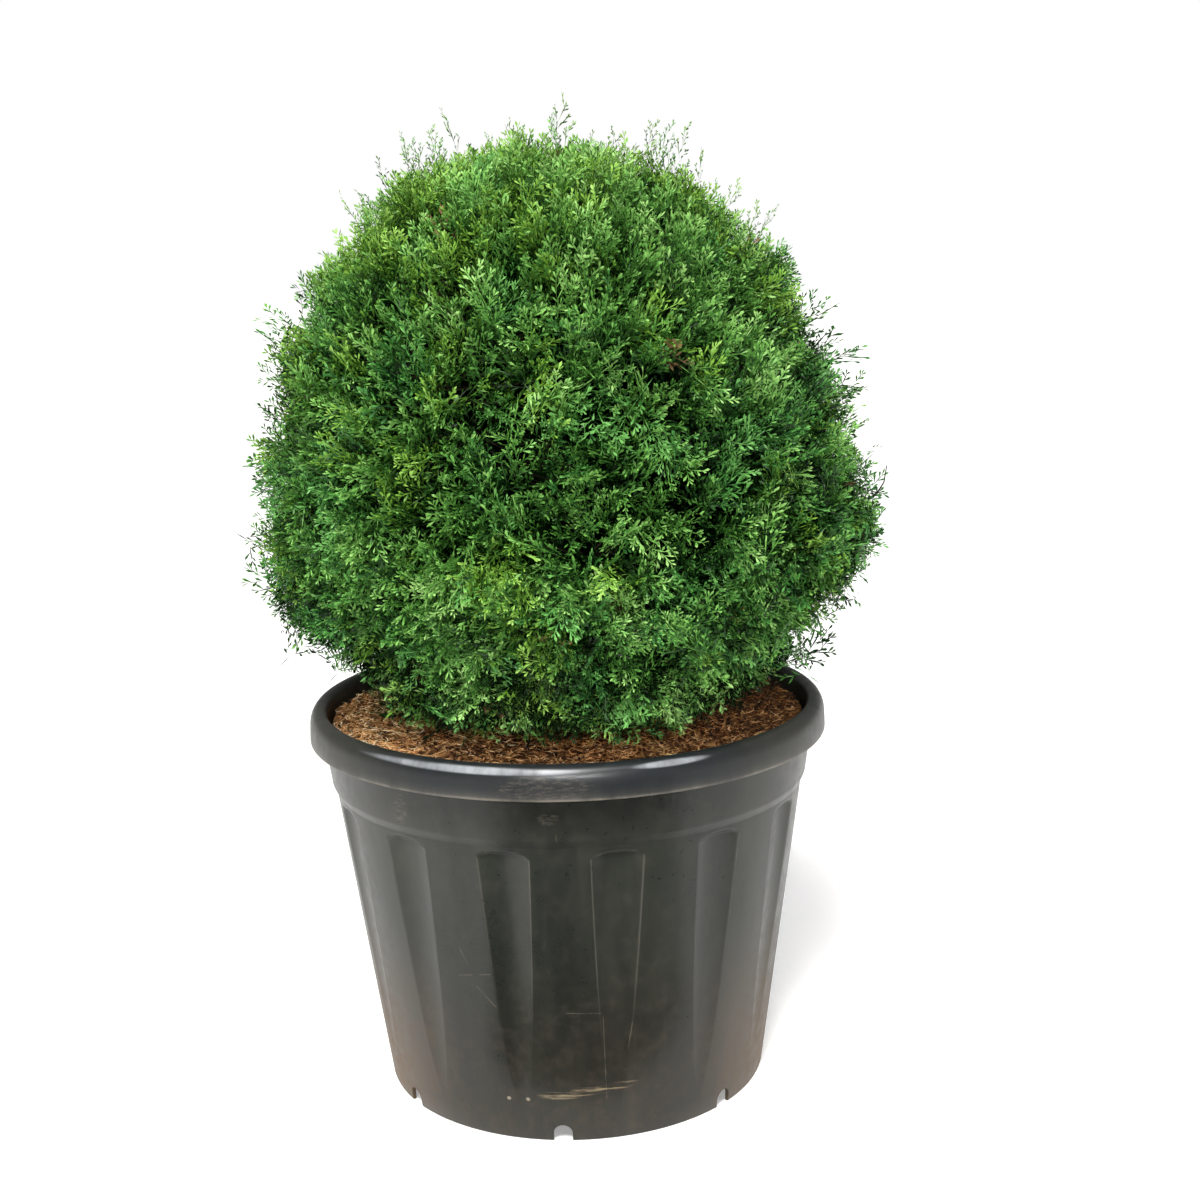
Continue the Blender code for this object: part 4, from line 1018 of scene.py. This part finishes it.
def patches(points, seed, least=25, most=80):
    """A seeded field over the crown, about -1 to 1."""
    draw = np.random.default_rng(seed)
    value = np.zeros(len(points))
    for _ in range(6):
        wave = draw.normal(0, 1, 3)
        wave *= draw.uniform(least, most) / np.linalg.norm(wave)
        value += np.sin(points @ wave + draw.uniform(0, 6.3))
    return value / 2.4


def shaded_gaps_at(points):
    """The seeded field of painted shade in small gaps among the tufts, 0 to 1.5."""
    return np.clip(0.5 + patches(points, 93, 150, 300), 0, 1.5)


def growth_direction(normal, z, lean):
    """Outward, more upright towards the top."""
    direction = normal + lean * (1 + 0.4 * np.clip((0.70 - z) / 0.12, 0, 1))[:, None]
    direction[:, 2] += 0.08 + 0.55 * np.clip((z - 0.72) / 0.25, 0, 1)
    return direction / np.linalg.norm(direction, axis=1)[:, None]


def brown_places(points):
    """True for each point near one of the places where foliage has turned brown."""
    places = np.array([(a, z) for a, z in BROWN_PLACES])
    middles = crown_point(places[:, 0], places[:, 1])
    away = np.linalg.norm(points[:, None] - middles[None], axis=-1).min(1)
    return away < BROWN_REACH


def grow_clusters(foliage, templates):
    """Tufts of sprays that fan out from one twig each, their tips near the clipped face."""
    draw = np.random.default_rng(SEED + 4)
    azimuth, z = capped_lattice(CLUSTERS, SEED)
    tufts = len(z)
    centre, normal = crown_point(azimuth, z), crown_normal(azimuth, z)
    _, across, upward = spray_frames(normal, np.zeros(tufts))
    depth = draw.uniform(0.001, 0.016, tufts) + HOLLOW_DEPTH * np.clip(patches(centre, 90, 35, 95), 0, 1)
    # Painted light and shade: a touch lighter at the top, darker low down and at the left and right sides as seen from
    # the front; the patches and random draws are the leaves' own tone
    tone = 4.2 + 0.10 * np.clip((z - 0.75) / 0.3, 0, 1) - 1.15 * np.clip((0.62 - z) / 0.12, 0, 1)
    tone += 0.4 * patches(centre, 91) + draw.normal(0, 0.55, tufts)
    tone += 0.78 - 1.5 * (centre[:, 0] / 0.34) ** 2 * np.clip((1.0 - z) / 0.1, 0, 1)
    hue = patches(centre, 92) + draw.normal(0, 0.6, tufts) + 0.9 * np.clip((z - 0.80) / 0.2, 0, 1)
    hue += 0.35 * np.clip(-centre[:, 0] / 0.3, -1, 1)
    kind = np.where(hue > 1.05, YELLOW, np.where(hue < -0.75, COOL, PLAIN))
    lean, spin = draw.normal(0, 0.38, (tufts, 3)), draw.uniform(0, math.pi, tufts)
    of = np.repeat(np.arange(tufts), SPRAYS_PER_CLUSTER)
    count = len(of)
    offset = draw.normal(0, CLUSTER_SPREAD, (count, 2)).clip(-0.026, 0.026)
    aside = across[of] * offset[:, :1] + upward[of] * offset[:, 1:]
    sunk = depth[of] + draw.uniform(-0.004, 0.014, count)
    tip = centre[of] + aside - normal[of] * sunk[:, None]
    direction = growth_direction(normal[of], z[of], lean[of] + draw.normal(0, 0.28, (count, 3)) + aside * 9)
    length = SPRAY_LENGTH * draw.uniform(0.75, 1.15, count)
    # Painted shade: darker to the right, low down, most at the hem, and in the gaps
    shaded = np.clip(0.9 * np.clip(tip[:, 0] / 0.22, 0, 1) + np.clip((0.68 - tip[:, 2]) / 0.12, 0, 1), 0.15, 1)
    shaded += 1.1 * np.clip((0.55 - tip[:, 2]) / 0.05, 0, 1)
    shaded = shaded * (shaded_gaps_at(tip) - 0.40)
    # Sprays sunk deeper under the face are painted darker as shade
    foliage.plant(templates, tip - direction * length[:, None], direction, length, draw,
                  spin=spin[of] + draw.normal(0, 0.6, count),
                  tone=tone[of] - 50 * (sunk - 0.010) - SHADED_DARKER * shaded + draw.normal(0, 0.45, count),
                  family=np.where(brown_places(tip) | (draw.uniform(0, 1, count) < 0.004), BROWN, kind[of]))


def under_face(points):
    """How far each point lies in from the clipped face, measured level. High up it is not measured."""
    middle = np.stack([LEAN * (points[:, 2] - LEAN_FROM_Z), np.zeros(len(points))], -1)
    off = points[:, :2] - middle
    azimuth = np.degrees(np.arctan2(off[:, 1], off[:, 0])) + 90
    z = np.clip(points[:, 2], CROWN_BOTTOM_Z + 0.001, CROWN_TOP_Z - 0.001)
    face = crown_point(azimuth, z)[:, :2] - middle
    room = np.linalg.norm(face, axis=1) - np.linalg.norm(off, axis=1)
    return np.where(points[:, 2] > 0.92, 1.0, room)


def grow_inside(foliage, templates, count, least, most, size, seed, tone, least_z):
    """Sprays or fans whose tips lie under the clipped face, painted dark as shade."""
    draw = np.random.default_rng(SEED + seed)
    azimuth, z = capped_lattice(count, SEED + seed)
    azimuth, z = azimuth[z > least_z], z[z > least_z]
    count = len(z)
    normal = crown_normal(azimuth, z)
    tip = crown_point(azimuth, z) - normal * draw.uniform(least, most, count)[:, None]
    direction = growth_direction(normal, z, draw.normal(0, 0.5, (count, 3)))
    length = size * draw.uniform(0.8, 1.15, count)
    along = direction * length[:, None]
    room = np.min([under_face(tip - along * share) for share in (0, 0.5, 1)], axis=0) > least * 0.6
    tip, direction, length, z = tip[room], direction[room], length[room], z[room]
    count = len(z)
    # Painted shade: darker to the right, low down and in the gaps
    shade = 0.8 - 1.5 * np.clip(tip[:, 0] / 0.3, 0, 1) - 1.8 * np.clip((0.66 - z) / 0.12, 0, 1) - shaded_gaps_at(tip)
    foliage.plant(templates, tip - direction * length[:, None], direction, length, draw,
                  spin=draw.uniform(0, math.pi, count), tone=draw.normal(tone, 0.4, count) + shade,
                  family=np.full(count, PLAIN))


def shoot_places():
    """The named shoots, then many small ones spread over the clipped face: tips, directions and lengths."""
    draw = np.random.default_rng(SEED + 7)
    tips, directions, lengths = [], [], []
    for azimuth, tip_z, distance in SHOOTS:
        tip = azimuth_vectors(azimuth) * distance + np.array([0, 0, tip_z])
        upright = min(1.0, max(0.0, (tip_z - 0.85) / 0.2))
        direction = azimuth_vectors(azimuth) * (1 - 0.8 * upright) + np.array([0, 0, 0.35 + 0.65 * upright])
        for beside in range(3):
            aside = draw.normal(0, 0.016, 3) if beside else np.zeros(3)
            aside[2] = -abs(aside[2])
            tips.append(tip + aside - direction * 0.018 * beside)
            directions.append(direction + draw.normal(0, 0.14, 3))
            lengths.append(SHOOT_LENGTH)
    azimuth, z = lattice(SMALL_SHOOTS, SEED + 30)
    azimuth, z = azimuth[z > SHOOT_LEAST_Z], z[z > SHOOT_LEAST_Z]
    normal = crown_normal(azimuth, z)
    reach = draw.uniform(-0.004, 0.014, len(z)) + 0.026 * np.clip((z - 0.93) / 0.06, 0, 1)
    tips += list(crown_point(azimuth, z) + normal * reach[:, None])
    directions += list(growth_direction(normal, z, draw.normal(0, 0.25, (len(z), 3))))
    lengths += [SHOOT_LENGTH * 0.8] * len(z)
    directions = np.array(directions)
    return np.array(tips), directions / np.linalg.norm(directions, axis=1)[:, None], np.array(lengths), draw


def grow_shoots(foliage, draw, sprays):
    """Slender sprays whose tips stand out of the clipped face."""
    templates = [spray_template(draw, SHOOT_SPREAD, 0.12, SHOOT_BLADE_WIDTH, SHOOT_LEAF_SHARE) for _ in range(6)]
    for points, _, _ in templates:
        points /= points[:, 0].max()
    tips, directions, lengths, rng = shoot_places()
    high = tips[:, 2] > 0.93
    for part, kinds, tone, other in ((high, templates, 4.2, YELLOW), (~high, sprays, 2.4, COOL)):
        tip, direction, length = tips[part], directions[part], lengths[part]
        count = len(tip)
        foliage.plant(kinds, tip - direction * length[:, None], direction, length, rng,
                      spin=rng.uniform(0, math.pi, count), tone=rng.normal(tone, 0.5, count),
                      family=rng.choice([PLAIN, other], count))


def build_foliage():
    draw = random.Random(SEED)
    foliage = Foliage()
    sprays = [spray_template(draw) for _ in range(TEMPLATES)]
    grow_clusters(foliage, sprays)
    # Sprays painted dark as shade under the bright ones
    grow_inside(foliage, sprays, *INNER_SPRAYS, SPRAY_LENGTH, 40, 1.9, INNER_LEAST_Z)
    # Near-black fans: sheets of painted shade under the sprays
    for k, fans in enumerate(FANS):
        grow_inside(foliage, [fan_template()], *fans, FAN_LENGTH, 50 + k, -1.3 - 0.4 * k, FAN_LEAST_Z)
    grow_shoots(foliage, draw, sprays)
    materials = [principled(f"leaf_shade_{i}", c, 1.0, 0.0) for i, c in enumerate(SHADES)]
    for kind, colours in FAMILIES:
        materials += [principled(f"leaf_{kind}_{i}", c, 0.5, 0.22) for i, c in enumerate(colours)]
    foliage.build(materials)


# Twigs

def build_twigs(material):
    """Three-sided twigs that branch from each mass's stem towards its sprays."""
    draw = random.Random(SEED + 8)
    azimuths, heights = lattice(2600, SEED + 9)
    ends = crown_point(azimuths, heights)
    owner = mass_of(ends)
    starts = []
    for _, bough in bough_facts():
        line = bough_line(*bough)
        way = (line[-1] - line[-2]).normalized()
        starts.append((line[-1] + way * GAP, way, BOUGH_TIP_RADIUS))
    tip = trunk_place(TRUNK_TIP_Z)
    way = (tip - trunk_place(TRUNK_TIP_Z - 0.06)).normalized()
    starts.append((tip + way * GAP, way, TRUNK_TIP_RADIUS))
    twigs = []
    for m, (start, way, radius) in enumerate(starts):
        hub = start + way * (0.045 if m == len(starts) - 1 else 0.075)
        twigs.append((start, hub, radius, radius * 0.6))
        mine = np.flatnonzero(owner == m)
        group = 9
        for first in range(0, len(mine), group):
            members = mine[first:first + group]
            middle = Vector(ends[members].mean(0).tolist())
            root = start.lerp(hub, draw.uniform(0.3, 0.95))
            fork = root.lerp(middle, 0.62)
            twigs.append((root, fork, 0.0030, 0.0020))
            for j in members:
                end = fork.lerp(Vector(ends[j].tolist()), draw.uniform(0.40, 0.62))
                twigs.append((fork, end, 0.0016, 0.0008))
    dead = [Vector(place) for place in DEAD_TWIG]
    twigs += [(near, far, 0.0017 - 0.0002 * i, 0.0015 - 0.0002 * i) for i, (near, far) in enumerate(zip(dead, dead[1:]))]
    points, faces = [], []
    for start, end, wide, narrow in twigs:
        along = (end - start).normalized()
        side = along.orthogonal().normalized()
        other = along.cross(side)
        first = len(points)
        for centre, radius in ((start, wide), (end, narrow)):
            for k in range(3):
                turn = 2 * math.pi * k / 3
                points.append(tuple(centre + side * (radius * math.cos(turn)) + other * (radius * math.sin(turn))))
        for k in range(3):
            n = (k + 1) % 3
            faces += [(first + k, first + n, first + 3 + n), (first + k, first + 3 + n, first + 3 + k)]
        faces += [(first, first + 2, first + 1), (first + 3, first + 4, first + 5)]
    twig = mesh_of("twigs", np.array(points), np.array(faces), None, [material])
    return place(twig, "bark")


# Stage

FLAG = ((-2.20, -4.20), (3.90, -4.20), (0.30, -0.29), (-0.20, -0.29))


def area_light(name, location, target, size, power, spread=180, turn=None):
    """A rectangular light, itself unseen. turn is its whole turn, where a target doesn't give it."""
    light = bpy.data.lights.new(name, "AREA")
    light.shape = "RECTANGLE"
    light.size, light.size_y = size
    light.energy = power
    light.spread = math.radians(spread)
    obj = bpy.data.objects.new(name, light)
    obj.location = location
    aim = turn or (Vector(target) - Vector(location)).to_track_quat("-Z", "Y")
    obj.rotation_euler = aim.to_euler()
    obj.visible_camera = False
    bpy.context.scene.collection.objects.link(obj)


def strip_light(name, start, end, width, power):
    """A long narrow light between two points that faces the pot's rim, for the streaks along its shoulder."""
    start, end = Vector(start), Vector(end)
    middle = (start + end) / 2
    back = (middle - Vector((0, -0.2, POT_HEIGHT))).normalized()
    along = (end - start).normalized()
    side = back.cross(along).normalized()
    turn = Matrix((along, side, along.cross(side))).transposed()
    area_light(name, middle, None, ((end - start).length, width), power, turn=turn)


def sun_light(name, direction, spread, strength, color=(1, 1, 1)):
    light = bpy.data.lights.new(name, "SUN")
    light.angle = math.radians(spread)
    light.energy = strength
    light.color = color
    obj = bpy.data.objects.new(name, light)
    obj.rotation_euler = Vector(direction).to_track_quat("-Z", "Y").to_euler()
    bpy.context.scene.collection.objects.link(obj)


def build_world():
    """Even light from all round, behind which the camera sees plain white."""
    world = bpy.context.scene.world or bpy.data.worlds.new("World")
    bpy.context.scene.world = world
    world.use_nodes = True
    tree = world.node_tree
    light = tree.nodes["Background"]
    light.inputs["Color"].default_value = (1.0, 1.0, 1.0, 1.0)
    light.inputs["Strength"].default_value = 0.32
    white = tree.nodes.new("ShaderNodeBackground")
    white.inputs["Color"].default_value = (1.0, 1.0, 1.0, 1.0)
    mix = tree.nodes.new("ShaderNodeMixShader")
    path = tree.nodes.new("ShaderNodeLightPath")
    tree.links.new(path.outputs["Is Camera Ray"], mix.inputs[0])
    tree.links.new(light.outputs[0], mix.inputs[1])
    tree.links.new(white.outputs[0], mix.inputs[2])
    tree.links.new(mix.outputs[0], tree.nodes["World Output"].inputs["Surface"])


def build_flag():
    """A black card on the floor before the pot, seen in reflections only, that keeps the pot's front dark."""
    corners = [(x, y, 0.001) for x, y in FLAG]
    flag = mesh_of("flag", np.array(corners), np.array([(0, 1, 2), (0, 2, 3)]), None, [principled("flag", (0, 0, 0), 1.0, 0.0)])
    flag.visible_camera = flag.visible_diffuse = flag.visible_shadow = flag.visible_transmission = False
    return flag


def build_stage():
    material = principled("floor", (0.90, 0.90, 0.895), 0.8, 0.2)
    shader = material.node_tree.nodes["Principled BSDF"]
    shader.inputs["Emission Color"].default_value = (1.0, 1.0, 1.0, 1.0)
    shader.inputs["Emission Strength"].default_value = 0.32
    reach = 30
    corners = [(-reach, -reach, 0), (reach, -reach, 0), (reach, reach, 0), (-reach, reach, 0)]
    floor = mesh_of("floor", np.array(corners, float), np.array([(0, 1, 2), (0, 2, 3)]), None, [material])
    floor.location.z = -0.0005
    build_flag()
    build_world()
    area_light("top_box", (-0.20, -1.30, 2.40), (0, 0, 0.60), (1.9, 0.45), 16)
    strip_light("left_strip", (0.05, -1.45, 1.95), (-1.75, -0.30, 1.50), 0.07, 8)
    strip_light("right_strip", (0.45, -1.35, 1.95), (1.35, -0.75, 1.65), 0.07, 3)
    area_light("low_fill", (0, -2.00, 1.10), (0, -0.22, 0.36), (1.2, 0.12), 1.1, 18)
    sun_light("key", (0.14, 0.90, -1.25), 12, 3.2, (1.0, 0.985, 0.95))


def build_camera():
    camera = bpy.data.cameras.new("camera")
    camera.sensor_width = 36.0
    camera.lens = 52.5
    obj = bpy.data.objects.new("camera", camera)
    right = Vector((0.999347, -0.025870, -0.025242))
    up = Vector((0.029910, 0.199771, 0.979386))
    forward = Vector((0.020294, 0.979501, -0.200415))
    turn = Matrix((right, up, -forward)).transposed().to_4x4()
    obj.matrix_world = Matrix.Translation((0.0, -1.9911, 0.9670)) @ turn
    bpy.context.scene.collection.objects.link(obj)
    bpy.context.scene.camera = obj


def main():
    build_pot()
    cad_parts["soil"].data.materials.clear()
    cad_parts["soil"].data.materials.append(soil_material())
    build_mulch_bed()
    build_strands()
    bark = bark_material()
    build_limbs(bark)
    build_twigs(principled("twig", (0.018, 0.015, 0.008), 0.9, 0.1))
    build_foliage()
    build_stage()
    build_camera()
    bpy.context.scene.view_settings.view_transform = "Standard"


main()
